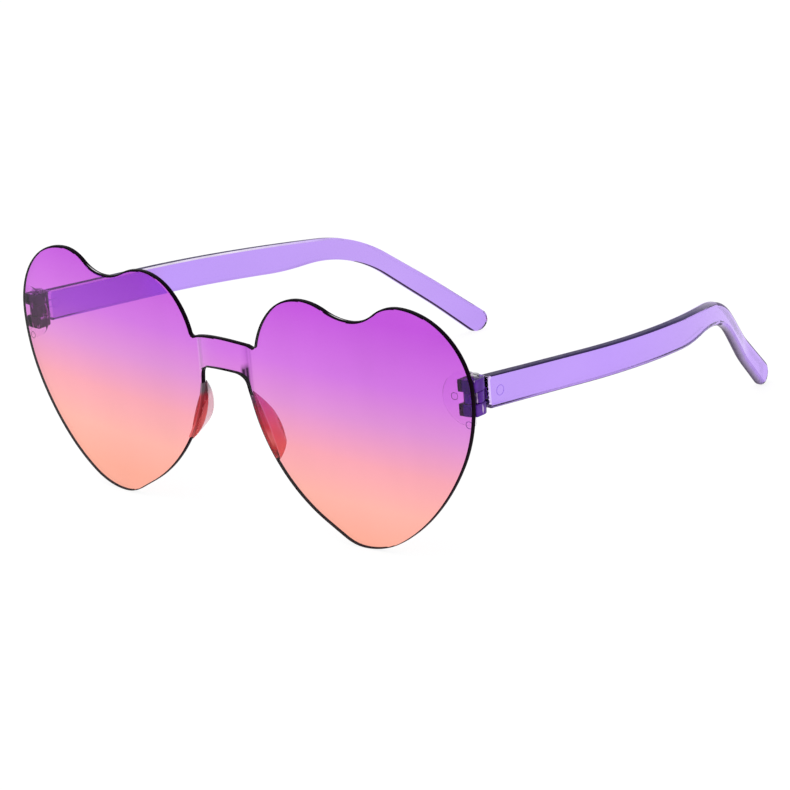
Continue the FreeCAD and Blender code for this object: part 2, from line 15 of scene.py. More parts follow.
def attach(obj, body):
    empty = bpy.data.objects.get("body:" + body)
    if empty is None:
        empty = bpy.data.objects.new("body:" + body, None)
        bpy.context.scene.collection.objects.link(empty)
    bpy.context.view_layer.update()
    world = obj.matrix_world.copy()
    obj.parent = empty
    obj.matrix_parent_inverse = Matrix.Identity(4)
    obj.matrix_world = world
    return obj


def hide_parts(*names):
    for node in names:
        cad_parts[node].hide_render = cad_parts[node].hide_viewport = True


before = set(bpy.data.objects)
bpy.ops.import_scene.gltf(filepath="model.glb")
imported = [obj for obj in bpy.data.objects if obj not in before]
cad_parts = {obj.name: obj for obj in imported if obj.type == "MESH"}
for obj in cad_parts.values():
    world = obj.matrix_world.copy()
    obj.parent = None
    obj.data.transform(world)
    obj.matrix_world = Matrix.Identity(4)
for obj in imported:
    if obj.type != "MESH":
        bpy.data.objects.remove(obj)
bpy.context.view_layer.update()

logging.basicConfig(level=logging.INFO, format="%(message)s")
log = logging.getLogger("sunglasses")

# Sizes are in millimetres unless a comment says otherwise, and depths count from the foremost point of the wide
# arc that the lens front is bowed on.
MM = 0.001
DEPTH_SHIFT = -70.335  # from those depths to the frame of the solids
PIVOT = (69.6, 8.167)  # hinge axis: distance across and depth
ARM_ENDS = (-60.6, 73.1)  # where the fades along the side arms start and end, in the frame of the solids
MERGE_GAP = 2e-6  # metres within which points of one piece are merged
SUPPORT = 0.05  # width of the narrow row of faces that keeps a flat face flat up to its rounding
STRAIGHT = 1e-7  # half the turn of an arc, in radians, under which it is drawn straight
PARALLEL = 1e-9  # spread of two directions, or step along a line, that counts as none
MIX_COLOURS = (6, 7)  # sockets of the mix node that take its two colours
MIX_RESULT = 2  # socket of the mix node that gives a colour
ACROSS, BACK, UP = (1.0, 0.0, 0.0), (0.0, 1.0, 0.0), (0.0, 0.0, 1.0)
WHITE, BLACK = (255, 255, 255), (0, 0, 0)

Colour = tuple[float, float, float]
Stops = tuple[tuple[float, Colour], ...]
Limits = tuple[float, float]
Socket = bpy.types.NodeSocket
Place = Callable[[np.ndarray, np.ndarray], np.ndarray]


class Side(Enum):
    """The wearer's two sides; the value is the sign of X."""

    LEFT = 1.0
    RIGHT = -1.0

    @property
    def label(self) -> str:
        """Ending of the names of the pieces on this side."""
        return self.name.lower()

    @property
    def temple_body(self) -> str:
        """Body that the side arm turns with."""
        return self.label + "_temple"


def linear(colour: Colour) -> tuple[float, ...]:
    """Turns a display colour into a linear one by the sRGB curve.

    Args:
        colour: Red, green and blue from 0 to 255, as seen on a screen.

    Returns:
        Linear red, green and blue, and a full alpha.
    """
    share = np.array(colour) / 255.0
    low, high = share / 12.92, ((share + 0.055) / 1.055) ** 2.4
    return (*np.where(share <= 0.04045, low, high).tolist(), 1.0)


@dataclass(frozen=True)
class Grain:
    """Value that noise carries between two limits: cells per metre, limits, octaves, stretch and range read."""

    scale: float
    low: float = 0.0
    high: float = 1.0
    detail: float = 3.0
    stretch: tuple[float, float, float] = (1.0, 1.0, 1.0)
    read: Limits = (0.3, 0.7)


@dataclass(frozen=True)
class Relief:
    """Bump made by noise: cells per metre, depth, share of it that shows, and octaves."""

    scale: float
    height: float
    strength: float
    detail: float = 3.0


class NodeSheet:
    """Node tree with short calls that add and join its nodes."""

    def __init__(self, tree: bpy.types.NodeTree) -> None:
        """Keeps the tree that gets the nodes."""
        self.tree = tree

    def add(self, kind: str, inputs: Mapping[str | int, object], **settings: object) -> bpy.types.Node:
        """Adds a node.

        Args:
            kind: Blender's name of the node type, without its common beginning.
            inputs: Socket that feeds each input, or the constant value of that input.
            settings: Values of the node's own properties.

        Returns:
            The new node.
        """
        node = self.tree.nodes.new("ShaderNode" + kind)
        for key, value in settings.items():
            setattr(node, key, value)
        for key, value in inputs.items():
            if isinstance(value, Socket):
                self.tree.links.new(value, node.inputs[key])
            else:
                node.inputs[key].default_value = value
        return node

    def place(self) -> Socket:
        """Places in object space."""
        return self.add("TexCoord", {}).outputs["Object"]

    def noise(self, scale: float, detail: float = 3.0, stretch: Sequence[float] = (1.0, 1.0, 1.0)) -> Socket:
        """Noise near one half in object space, by cells per metre, octaves and a factor on each axis."""
        place = self.add("Mapping", {"Vector": self.place(), "Scale": stretch}).outputs["Vector"]
        return self.add("TexNoise", {"Vector": place, "Scale": scale, "Detail": detail}).outputs["Fac"]

    def spread(self, value: Socket, low: float, high: float, start: float = 0.0, end: float = 1.0) -> Socket:
        """Carries a value from the range between start and end to the range between low and high."""
        limits = {"From Min": start, "From Max": end, "To Min": low, "To Max": high}
        return self.add("MapRange", {"Value": value, **limits}).outputs["Result"]

    def grain(self, grain: Grain) -> Socket:
        """Value that varies with noise between the limits of a grain."""
        noise = self.noise(grain.scale, grain.detail, grain.stretch)
        return self.spread(noise, grain.low, grain.high, *grain.read)

    def along(self, way: Sequence[float], start: float, end: float) -> Socket:
        """Share of the way from start to end along a direction in object space."""
        reach = self.add("VectorMath", {0: self.place(), 1: way}, operation="DOT_PRODUCT").outputs["Value"]
        return self.spread(reach, 0.0, 1.0, start * MM, end * MM)

    def mark(self, name: str, start: float, end: float) -> Socket:
        """Share of the way from start to end of a value that the piece carries on its points."""
        value = self.add("Attribute", {}, attribute_name=name).outputs["Fac"]
        return self.spread(value, 0.0, 1.0, start, end)

    def math(self, operation: str, first: Socket, second: Socket) -> Socket:
        """Value worked out from two values."""
        return self.add("Math", {0: first, 1: second}, operation=operation).outputs["Value"]

    def blend(self, share: Socket, first: Socket, second: Socket | tuple[float, ...]) -> Socket:
        """Goes by a share from one colour to another, which may be a constant linear colour."""
        colours = dict(zip(MIX_COLOURS, (first, second)))
        return self.add("Mix", {"Factor": share, **colours}, data_type="RGBA").outputs[MIX_RESULT]

    def tinted(self, first: Socket, second: Socket) -> Socket:
        """Product of two colours."""
        return self.add("VectorMath", {0: first, 1: second}, operation="MULTIPLY").outputs["Vector"]

    def shade(self, colour: Socket, amount: Socket) -> Socket:
        """Product of a colour and a grey value."""
        return self.add("VectorMath", {0: colour, "Scale": amount}, operation="SCALE").outputs["Vector"]

    def ramp(self, share: Socket, stops: Stops) -> Socket:
        """Adds a colour ramp.

        Args:
            share: Socket with the share along the ramp.
            stops: Share and display colour of each stop, in order.

        Returns:
            Socket with the colour.
        """
        node = self.add("ValToRGB", {"Fac": share})
        elements = node.color_ramp.elements
        while len(elements) < len(stops):
            elements.new(1.0)
        for element, (position, colour) in zip(elements, stops):
            element.position = position
            element.color = linear(colour)
        return node.outputs["Color"]

    def seen_rays(self) -> Socket:
        """Adds a value that is 1 for rays of the camera, of reflections and of see-through pieces.

        Returns:
            Socket with the value.
        """
        rays = self.add("LightPath", {}).outputs
        seen = rays["Is Camera Ray"]
        for name in ("Is Glossy Ray", "Is Transmission Ray"):
            seen = self.math("MAXIMUM", seen, rays[name])
        return seen


class Finish:
    """What the finishes share: a skin colour, uneven gloss, a shallow relief and fixed sockets of the shader."""

    name: str
    fixed: ClassVar[dict[str, object]] = {}
    gloss: ClassVar[Grain]
    relief: ClassVar[Relief | None] = None

    def skin(self, sheet: NodeSheet) -> Socket:
        """Colour of the finish, worked out in the given tree."""
        raise NotImplementedError(self.name)

    def sockets(self, sheet: NodeSheet) -> dict[str, object]:
        """Works out what feeds the shader.

        Args:
            sheet: Tree that gets the nodes.

        Returns:
            Socket or constant value for each input of the shader.
        """
        found = {**self.fixed, "Base Color": self.skin(sheet), "Roughness": sheet.grain(self.gloss)}
        if self.relief is not None:
            bump = {"Height": sheet.noise(self.relief.scale, self.relief.detail),
                    "Distance": self.relief.height * MM, "Strength": self.relief.strength}
            found["Normal"] = sheet.add("Bump", bump).outputs["Normal"]
        return found

    def material(self) -> bpy.types.Material:
        """Makes the material of the finish.

        Returns:
            The new material.
        """
        material = bpy.data.materials.new(self.name)
        material.use_nodes = True
        sheet = NodeSheet(material.node_tree)
        sheet.tree.nodes.clear()
        shader = sheet.add("BsdfPrincipled", self.sockets(sheet))
        sheet.add("OutputMaterial", {"Surface": shader.outputs["BSDF"]})
        return material


@dataclass(frozen=True)
class LensTint(Finish):
    """See-through sheet that fades from violet at the lobes through pink to peach at the tips."""

    name: ClassVar[str] = "lens_tint"
    fixed: ClassVar[dict[str, object]] = {"Transmission Weight": 1.0, "IOR": 1.3}
    gloss: ClassVar[Grain] = Grain(900.0, 0.0, 0.05)
    relief: ClassVar[Relief] = Relief(260.0, 0.02, 0.15, 1.0)
    flow: ClassVar[Grain] = Grain(55.0, 0.97, 1.03, 2.0, (1.0, 1.0, 0.35))
    low: float = 0.0
    high: float = 62.0
    lean: float = 0.055
    stops: Stops = (
        (0.05, (255, 174, 152)), (0.2, (255, 180, 167)), (0.36, (247, 165, 178)),
        (0.53, (222, 142, 212)), (0.68, (208, 114, 224)), (0.92, (192, 78, 218)),
    )
    # Painted shade: the crease colours darken a line along the crease beside the bridge, and a near black patch sits
    # under its left end.
    crease: Limits = (6.4, 8.8)
    crease_shade_stops: Stops = ((0.0, WHITE), (0.55, (226, 206, 232)), (0.68, (204, 178, 212)), (0.9, WHITE))
    bridge_shade_rise: Limits = (6.1, 6.7)
    bridge_shade_fall: Limits = (7.9, 7.2)
    bridge_shade_z: Limits = (39.4, 38.0)
    bridge_shade: Colour = (10, 0, 14)

    def skin(self, sheet: NodeSheet) -> Socket:
        """Fades by height, with painted shade along the crease beside the bridge and a small near black patch of
        painted shade under its left end.

        Args:
            sheet: Tree that gets the nodes.

        Returns:
            Socket with the colour.
        """
        fade = sheet.ramp(sheet.along((self.lean, 0.0, 1.0), self.low, self.high), self.stops)
        # Painted shade along the crease beside the bridge.
        crease_shade = sheet.ramp(sheet.along(ACROSS, *self.crease), self.crease_shade_stops)
        skin = sheet.tinted(crease_shade, sheet.shade(fade, sheet.grain(self.flow)))
        # Painted shade: a near black patch under the left end of the bridge.
        bridge_shade = sheet.along(UP, *self.bridge_shade_z)
        for limits in (self.bridge_shade_rise, self.bridge_shade_fall):
            bridge_shade = sheet.math("MULTIPLY", bridge_shade, sheet.along(ACROSS, *limits))
        return sheet.blend(bridge_shade, skin, linear(self.bridge_shade))


@dataclass(frozen=True)
class LensEdge(Finish):
    """Cut rim of the tinted sheet, painted near black violet as painted shade for its dark look, with a painted
    highlight, a pale line in the middle, beside the dips.
    """

    name: ClassVar[str] = "lens_edge"
    fixed: ClassVar[dict[str, object]] = {"Specular IOR Level": 0.02}
    gloss: ClassVar[Grain] = Grain(500.0, 0.2, 0.4)
    relief: ClassVar[Relief] = Relief(1400.0, 0.02, 0.3)
    mottle: ClassVar[Grain] = Grain(220.0, 0.75, 1.25)
    high: float = 58.5
    thickness: float = 1.5
    # The near black stops are painted shade for the dark look of the cut rim, and the pale colour is a painted
    # highlight.
    stops: Stops = ((0.0, (46, 14, 26)), (0.3, (24, 6, 20)), (1.0, (9, 0, 13)))
    highlight_stops: Stops = ((0.34, BLACK), (0.41, WHITE), (0.46, WHITE), (0.53, BLACK))
    pale: Colour = (252, 248, 253)

    def skin(self, sheet: NodeSheet) -> Socket:
        """Fades by height, and lays the painted highlight, a pale line, over the points that are marked for it.

        Args:
            sheet: Tree that gets the nodes.

        Returns:
            Socket with the colour.
        """
        fade = sheet.ramp(sheet.along(UP, 0.0, self.high), self.stops)
        # Painted highlight: a pale line in the middle of the rim where the points are marked.
        middle = sheet.ramp(sheet.mark("depth", 0.0, self.thickness), self.highlight_stops)
        gap = sheet.math("MULTIPLY", sheet.mark("gap", 0.0, 1.0), middle)
        return sheet.blend(gap, sheet.shade(fade, sheet.grain(self.mottle)), linear(self.pale))


@dataclass(frozen=True)
class LensRoot(Finish):
    """Rim of the sheet where a nose pad joins it: the pad's red is painted in as seen through the rim, a painted
    reflection, smoky at the top.
    """

    name: ClassVar[str] = "lens_root"
    fixed: ClassVar[dict[str, object]] = {"Transmission Weight": 0.4, "IOR": 1.3, "Specular IOR Level": 0.1}
    gloss: ClassVar[Grain] = Grain(700.0, 0.05, 0.2)
    relief: ClassVar[Relief] = Relief(900.0, 0.02, 0.2)
    mottle: ClassVar[Grain] = Grain(240.0, 0.9, 1.1)
    heights: Limits = (17.0, 33.0)
    # The red stops paint the pad as seen through the rim, a painted reflection.
    stops: Stops = (
        (0.1, (226, 88, 88)), (0.5, (200, 60, 68)), (0.74, (186, 54, 66)), (0.82, (118, 102, 110)),
    )

    def skin(self, sheet: NodeSheet) -> Socket:
        """Fades by height."""
        return sheet.shade(sheet.ramp(sheet.along(UP, *self.heights), self.stops), sheet.grain(self.mottle))


@dataclass(frozen=True)
class TempleTint(Finish):
    """See-through lavender plastic of the side arms; the right one starts a little redder."""

    fixed: ClassVar[dict[str, object]] = {"Transmission Weight": 1.0, "IOR": 1.3}
    gloss: ClassVar[Grain] = Grain(900.0, 0.0, 0.06)
    relief: ClassVar[Relief] = Relief(300.0, 0.02, 0.15, 1.0)
    flow: ClassVar[Grain] = Grain(60.0, 0.95, 1.04, 2.0, (1.0, 0.2, 1.0))
    first: ClassVar[dict[Side, Colour]] = {Side.LEFT: (189, 152, 245), Side.RIGHT: (185, 138, 226)}
    side: Side
    first_to: float = 0.24
    stops: Stops = ((0.31, (187, 149, 245)), (0.8, (195, 160, 246)), (1.0, (189, 152, 244)))

    @property
    def name(self) -> str:
        """Name of the material."""
        return "temple_tint_" + self.side.label

    def skin(self, sheet: NodeSheet) -> Socket:
        """Fades from the hinge to the tail."""
        stops = ((self.first_to, self.first[self.side]), *self.stops)
        return sheet.shade(sheet.ramp(sheet.along(BACK, *ARM_ENDS), stops), sheet.grain(self.flow))


@dataclass(frozen=True)
class ArmRim(Finish):
    """Rim of a side arm: colours along the arm, and other colours across it that come in towards the tail; its dark
    colours are painted shade and its pale ones a painted highlight.
    """

    fixed: ClassVar[dict[str, object]] = {"Specular IOR Level": 0.02}
    gloss: ClassVar[Grain] = Grain(500.0, 0.2, 0.4)
    relief: ClassVar[Relief] = Relief(1400.0, 0.02, 0.3)
    mottle: ClassVar[Grain] = Grain(180.0, 0.9, 1.1)
    name: str
    stops: Stops
    across: Stops = ()
    shown: Limits = (0.6, 0.74)
    depth: float = 3.0

    def skin(self, sheet: NodeSheet) -> Socket:
        """Fades from the hinge to the tail, and across the rim where there are colours for it.

        Args:
            sheet: Tree that gets the nodes.

        Returns:
            Socket with the colour.
        """
        along = sheet.along(BACK, *ARM_ENDS)
        fade = sheet.ramp(along, self.stops)
        if self.across:
            band = sheet.ramp(sheet.mark("depth", 0.0, self.depth), self.across)
            fade = sheet.blend(sheet.spread(along, 0.0, 1.0, *self.shown), fade, band)
        return sheet.shade(fade, sheet.grain(self.mottle))


# Painted shade: the line and the band are the dark look of the rim through the clear arm.
ARM_LINE = ArmRim("arm_line", (
    (0.0, (44, 32, 70)), (0.5, (52, 40, 82)), (0.7, (92, 78, 116)), (0.8, (110, 92, 134)), (1.0, (72, 50, 100)),
))
ARM_BAND = ArmRim("arm_band", (
    (0.0, (50, 38, 76)), (0.5, (52, 42, 88)), (0.6, (80, 72, 110)), (0.68, (146, 136, 164)),
    (0.78, (194, 160, 242)),
))
# Painted highlight: the pale finish beside the dark band on top of the arm.
ARM_HIGHLIGHT = ArmRim("arm_gap", ((0.0, (236, 228, 246)), (0.5, (232, 222, 246)), (0.7, (198, 168, 246))))
# Painted shade: the underside of the tail darkens towards the middle of the rim.
ARM_UNDER = ArmRim("arm_under", ((0.0, (190, 172, 214)),), (
    (0.02, (192, 158, 244)), (0.16, (168, 150, 194)), (0.36, (132, 118, 148)), (0.6, (70, 54, 88)),
    (0.8, (64, 46, 82)), (1.0, (150, 134, 172)),
), (0.66, 0.75))


@dataclass(frozen=True)
class PadPlastic(Finish):
    """Blush plastic of a nose pad: red foot with a painted highlight, walls that differ by side, smoky ends, and
    painted highlights as pale lines; the red of the left pad is partly its own colour and partly a painted reflection
    of the lens tint.
    """

    fixed: ClassVar[dict[str, object]] = {"Transmission Weight": 0.6, "IOR": 1.3}
    gloss: ClassVar[Grain] = Grain(700.0, 0.04, 0.14)
    relief: ClassVar[Relief] = Relief(500.0, 0.03, 0.25, 2.0)
    mottle: ClassVar[Grain] = Grain(260.0, 0.95, 1.05)
    # The pale stops of the left foot are a painted highlight, and the red of the left foot is partly a painted
    # reflection of the lens tint.
    foot: ClassVar[dict[Side, Stops]] = {
        Side.LEFT: ((0.1, (84, 34, 40)), (0.16, (222, 60, 62)), (0.26, (255, 236, 206)), (0.34, (255, 222, 190)),
                    (0.44, (232, 60, 74)), (0.62, (214, 70, 108)), (0.76, (170, 44, 84)), (0.88, (200, 96, 150)),
                    (1.0, (90, 34, 66))),
        Side.RIGHT: ((0.0, (236, 96, 84)), (0.4, (216, 66, 68)), (0.72, (190, 48, 60)), (0.8, (112, 96, 104))),
    }
    # The red of the left walls is partly a painted reflection of the lens tint.
    walls: ClassVar[dict[Side, Stops]] = {
        Side.LEFT: ((0.1, (255, 138, 128)), (0.4, (255, 130, 150)), (0.95, (246, 114, 204))),
        Side.RIGHT: ((0.1, (240, 192, 204)), (0.72, (236, 182, 198)), (0.84, (150, 136, 146))),
    }
    side: Side
    depth: float = 4.0
    heights: Limits = (17.0, 33.0)
    # The white stops paint a highlight along both rims of the walls.
    highlight_lines: Stops = ((0.03, WHITE), (0.1, BLACK), (0.86, BLACK), (0.95, WHITE))
    foot_to: Limits = (0.02, 0.1)
    pale: Colour = (252, 214, 222)

    @property
    def name(self) -> str:
        """Name of the material."""
        return "pad_plastic_" + self.side.label

    def skin(self, sheet: NodeSheet) -> Socket:
        """Fades foot and walls by height, with a painted highlight, a pale line, along both rims of the walls.

        Args:
            sheet: Tree that gets the nodes.

        Returns:
            Socket with the colour.
        """
        height = sheet.along(UP, *self.heights)
        line = sheet.ramp(sheet.mark("behind", 0.0, self.depth), self.highlight_lines)
        walls = sheet.blend(line, sheet.ramp(height, self.walls[self.side]), linear(self.pale))
        foot = sheet.ramp(height, self.foot[self.side])
        skin = sheet.blend(sheet.mark("behind", *self.foot_to), foot, walls)
        return sheet.shade(skin, sheet.grain(self.mottle))


@dataclass(frozen=True)
class HingePlastic(Finish):
    """Thick tinted plastic of a hinge block: on the left violet beyond a near black end, on the right smoky."""

    fixed: ClassVar[dict[str, object]] = {"Transmission Weight": 0.15, "Specular IOR Level": 0.1}
    gloss: ClassVar[Grain] = Grain(800.0, 0.1, 0.26)
    relief: ClassVar[Relief] = Relief(900.0, 0.03, 0.3)
    mottle: ClassVar[Grain] = Grain(450.0, 0.7, 1.3)
    # Painted highlights: this noise places the pale upright glints.
    painted_glints: ClassVar[Grain] = Grain(900.0, 0.0, 1.0, 1.0, (1.0, 1.0, 0.35), (0.62, 0.68))
    stops: ClassVar[dict[Side, Stops]] = {
        Side.LEFT: ((0.0, (16, 7, 18)), (0.25, (24, 9, 30)), (0.34, (100, 34, 172)), (0.7, (108, 38, 184)),
                    (0.84, (40, 14, 66)), (0.92, (92, 36, 156)), (1.0, (104, 48, 168))),
        Side.RIGHT: ((0.0, (34, 24, 40)), (0.5, (58, 44, 70)), (1.0, (40, 28, 50))),
    }
    side: Side
    ends: Limits = (67.2, 72.0)
    glint: Colour = (226, 196, 236)

    @property
    def name(self) -> str:
        """Name of the material."""
        return "hinge_plastic_" + self.side.label

    def skin(self, sheet: NodeSheet) -> Socket:
        """Fades outward, with painted highlights as pale upright glints.

        Args:
            sheet: Tree that gets the nodes.

        Returns:
            Socket with the colour.
        """
        outward = sheet.along((self.side.value, 0.0, 0.0), *self.ends)
        body = sheet.shade(sheet.ramp(outward, self.stops[self.side]), sheet.grain(self.mottle))
        return sheet.blend(sheet.grain(self.painted_glints), body, linear(self.glint))


@dataclass(frozen=True)
class FootPlastic(Finish):
    """Almost colourless plastic of the round hinge feet and the square ends of the arms."""

    fixed: ClassVar[dict[str, object]] = {"Transmission Weight": 1.0, "IOR": 1.14}
    gloss: ClassVar[Grain] = Grain(800.0, 0.02, 0.1)
    relief: ClassVar[Relief] = Relief(700.0, 0.02, 0.2)
    name: str = "foot_plastic"
    cloud: float = 350.0
    stops: Stops = ((0.3, (250, 243, 252)), (0.7, (253, 249, 254)))

    def skin(self, sheet: NodeSheet) -> Socket:
        """Clouds the plastic a little."""
        return sheet.ramp(sheet.noise(self.cloud), self.stops)


@dataclass(frozen=True)
class ScrewSteel(Finish):
    """Turned steel with fine rings and worn patches."""

    name: ClassVar[str] = "screw_steel"
    fixed: ClassVar[dict[str, object]] = {"Metallic": 1.0}
    gloss: ClassVar[Grain] = Grain(2600.0, 0.22, 0.42, 2.0, (1.0, 1.0, 0.1))
    relief: ClassVar[Relief] = Relief(1800.0, 0.02, 0.3, 4.0)
    stops: Stops = ((0.3, (148, 146, 152)), (0.7, (198, 196, 202)))

    def skin(self, sheet: NodeSheet) -> Socket:
        """Darkens the low places of the relief."""
        return sheet.ramp(sheet.noise(self.relief.scale, self.relief.detail), self.stops)


@dataclass(frozen=True)
class FloorPaper(Finish):
    """White table paper with a barely seen tooth; what the eye sees of it keeps only part of each shadow."""

    name: ClassVar[str] = "floor_paper"
    fixed: ClassVar[dict[str, object]] = {"Specular IOR Level": 0.0, "Emission Color": linear(WHITE)}
    gloss: ClassVar[Grain] = Grain(700.0, 0.9, 1.0)
    stops: Stops = ((0.0, (253, 253, 253)), (1.0, WHITE))
    glow: float = 0.88
    keep: float = 0.16

    def skin(self, sheet: NodeSheet) -> Socket:
        """Colour of the paper, less of it where it is seen."""
        paper = sheet.ramp(sheet.noise(self.gloss.scale), self.stops)
        return sheet.shade(paper, sheet.spread(sheet.seen_rays(), 1.0, self.keep))

    def sockets(self, sheet: NodeSheet) -> dict[str, object]:
        """What feeds the shader, with an even glow where the paper is seen."""
        glow = sheet.spread(sheet.seen_rays(), 0.0, self.glow)
        return {**super().sockets(sheet), "Emission Strength": glow}


def unit(way: np.ndarray) -> np.ndarray:
    """Direction with a length of 1."""
    return way / np.hypot(*way)


def quarter_turn(way: np.ndarray) -> np.ndarray:
    """Direction turned a quarter to the left."""
    return np.array([-way[1], way[0]])


def spot(across: np.ndarray, depth: np.ndarray, height: np.ndarray) -> np.ndarray:
    """Places in the frame of the solids, one row each."""
    return np.stack([across, depth + DEPTH_SHIFT, height], axis=1)


def arc(start: np.ndarray, leave: np.ndarray, end: np.ndarray, count: int) -> np.ndarray:
    """Arc that leaves start along a direction and reaches end.

    The arc turns by twice the angle between the direction and the chord; its points are the start turned
    about the centre by even steps.

    Args:
        start: First point.
        leave: Unit direction at the first point.
        end: Last point.
        count: Number of points.

    Returns:
        Points along the arc, one row each.
    """
    chord = end - start
    half = math.atan2(leave[0] * chord[1] - leave[1] * chord[0], float(leave @ chord))
    share = np.linspace(0.0, 1.0, count)[:, None]
    if abs(half) < STRAIGHT:
        return start + share * chord
    centre = start + np.hypot(*chord) / (2.0 * math.sin(half)) * quarter_turn(leave)
    turn, spoke = 2.0 * half * share, start - centre
    return centre + np.cos(turn) * spoke + np.sin(turn) * quarter_turn(spoke)


def biarc(start: np.ndarray, leave: np.ndarray, end: np.ndarray, arrive: np.ndarray, count: int) -> np.ndarray:
    """Two arcs that join two points smoothly, with equal tangent lengths at both ends.

    Args:
        start: First point.
        leave: Unit direction at the first point.
        end: Last point.
        arrive: Unit direction at the last point.
        count: Number of points on each arc.

    Returns:
        Points along both arcs.
    """
    chord = end - start
    ahead, square = float(chord @ (leave + arrive)), float(chord @ chord)
    spread = 2.0 * (1.0 - float(leave @ arrive))
    if spread < PARALLEL:
        reach = square / (2.0 * ahead)
    else:
        reach = (math.sqrt(ahead ** 2 + spread * square) - ahead) / spread
    joint = 0.5 * (start + end + (leave - arrive) * reach)
    last = arc(end, -arrive, joint, count)[::-1]
    return np.concatenate([arc(start, leave, joint, count), last[1:]])


def rounded_run(points: Sequence[np.ndarray], radii: Sequence[float], count: int) -> list[np.ndarray]:
    """Straight runs from point to point with an arc at each inner point.

    Args:
        points: Corners in order.
        radii: Radius of the arc at each inner corner.
        count: Number of points on each arc.

    Returns:
        Straight pieces and arcs in turn, each a row of points.
    """
    pieces, last = [], points[0]
    for before, corner, after, radius in zip(points, points[1:], points[2:], radii):
        inward, onward = unit(corner - before), unit(after - corner)
        setback = radius * math.tan(0.5 * math.acos(np.clip(inward @ onward, -1.0, 1.0)))
        first, end = corner - inward * setback, corner + onward * setback
        pieces += [np.array([last, first]), arc(first, inward, end, count)]
        last = end
    return [*pieces, np.array([last, points[-1]])]


def resample(path: np.ndarray, count: int) -> np.ndarray:
    """Points at even steps along a path.

    Args:
        path: Points of the path.
        count: Number of points wanted.

    Returns:
        The new points, first and last included.
    """
    far = np.concatenate([[0.0], np.cumsum(np.hypot(*np.diff(path, axis=0).T))])
    wanted = np.linspace(0.0, far[-1], count)
    return np.stack([np.interp(wanted, far, path[:, 0]), np.interp(wanted, far, path[:, 1])], axis=1)


def chain(paths: Sequence[np.ndarray], counts: Sequence[int]) -> np.ndarray:
    """Joins paths, each resampled to its own number of points, with each shared point once."""
    parts = [resample(path, count) for path, count in zip(paths, counts)]
    return np.concatenate([parts[0], *(part[1:] for part in parts[1:])])


def grid_faces(rows: int, columns: int) -> np.ndarray:
    """Four corner faces of a grid whose columns close into a ring.

    Args:
        rows: Number of rows.
        columns: Number of points in each row.

    Returns:
        Corner numbers of each face, row by row.
    """
    row, column = np.meshgrid(np.arange(rows - 1), np.arange(columns), indexing="ij")
    beside = (column + 1) % columns
    corners = (row * columns + column, row * columns + beside,
               (row + 1) * columns + beside, (row + 1) * columns + column)
    return np.stack(corners, axis=-1).reshape(-1, 4)


def make_piece(name: str, points: np.ndarray, faces: np.ndarray, finishes: Sequence[Finish],
               choice: np.ndarray | None = None, marks: Mapping[str, np.ndarray] | None = None) -> bpy.types.Object:
    """Puts a surface into a new object at the origin, with its seams and poles merged.

    Args:
        name: Name of the piece.
        points: Places, one row each.
        faces: Corner numbers of each face.
        finishes: Finishes of the piece.
        choice: Number of the finish of each face, or nothing where there is one finish.
        marks: Values that the finishes read, one for each point.

    Returns:
        The new object.
    """
    mesh = bpy.data.meshes.new(name)
    mesh.from_pydata((points * MM).tolist(), [], faces.tolist())
    for finish in finishes:
        mesh.materials.append(finish.material())
    if choice is not None:
        mesh.polygons.foreach_set("material_index", choice.astype(np.int32))
    for mark, values in (marks or {}).items():
        mesh.attributes.new(mark, "FLOAT", "POINT").data.foreach_set("value", values.astype(np.float32))
    shell = bmesh.new()
    shell.from_mesh(mesh)
    bmesh.ops.remove_doubles(shell, verts=shell.verts, dist=MERGE_GAP)
    bmesh.ops.dissolve_degenerate(shell, edges=shell.edges, dist=0.5 * MERGE_GAP)
    bmesh.ops.recalc_face_normals(shell, faces=shell.faces)
    shell.to_mesh(mesh)
    shell.free()
    mesh.polygons.foreach_set("use_smooth", np.ones(len(mesh.polygons), dtype=bool))
    mesh.update()
    piece = bpy.data.objects.new(name, mesh)
    bpy.context.scene.collection.objects.link(piece)
    return piece


def settle(piece: bpy.types.Object, body: str, node: str = "") -> bpy.types.Object:
    """Hides the solid that a piece stands for, if it has one, and attaches the piece to the body that it moves with.

    Args:
        piece: The piece.
        body: Body that carries it.
        node: Solid that it stands for, or nothing for an added detail.

    Returns:
        The same piece.
    """
    if node:
        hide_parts(node)
    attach(piece, body)
    return piece


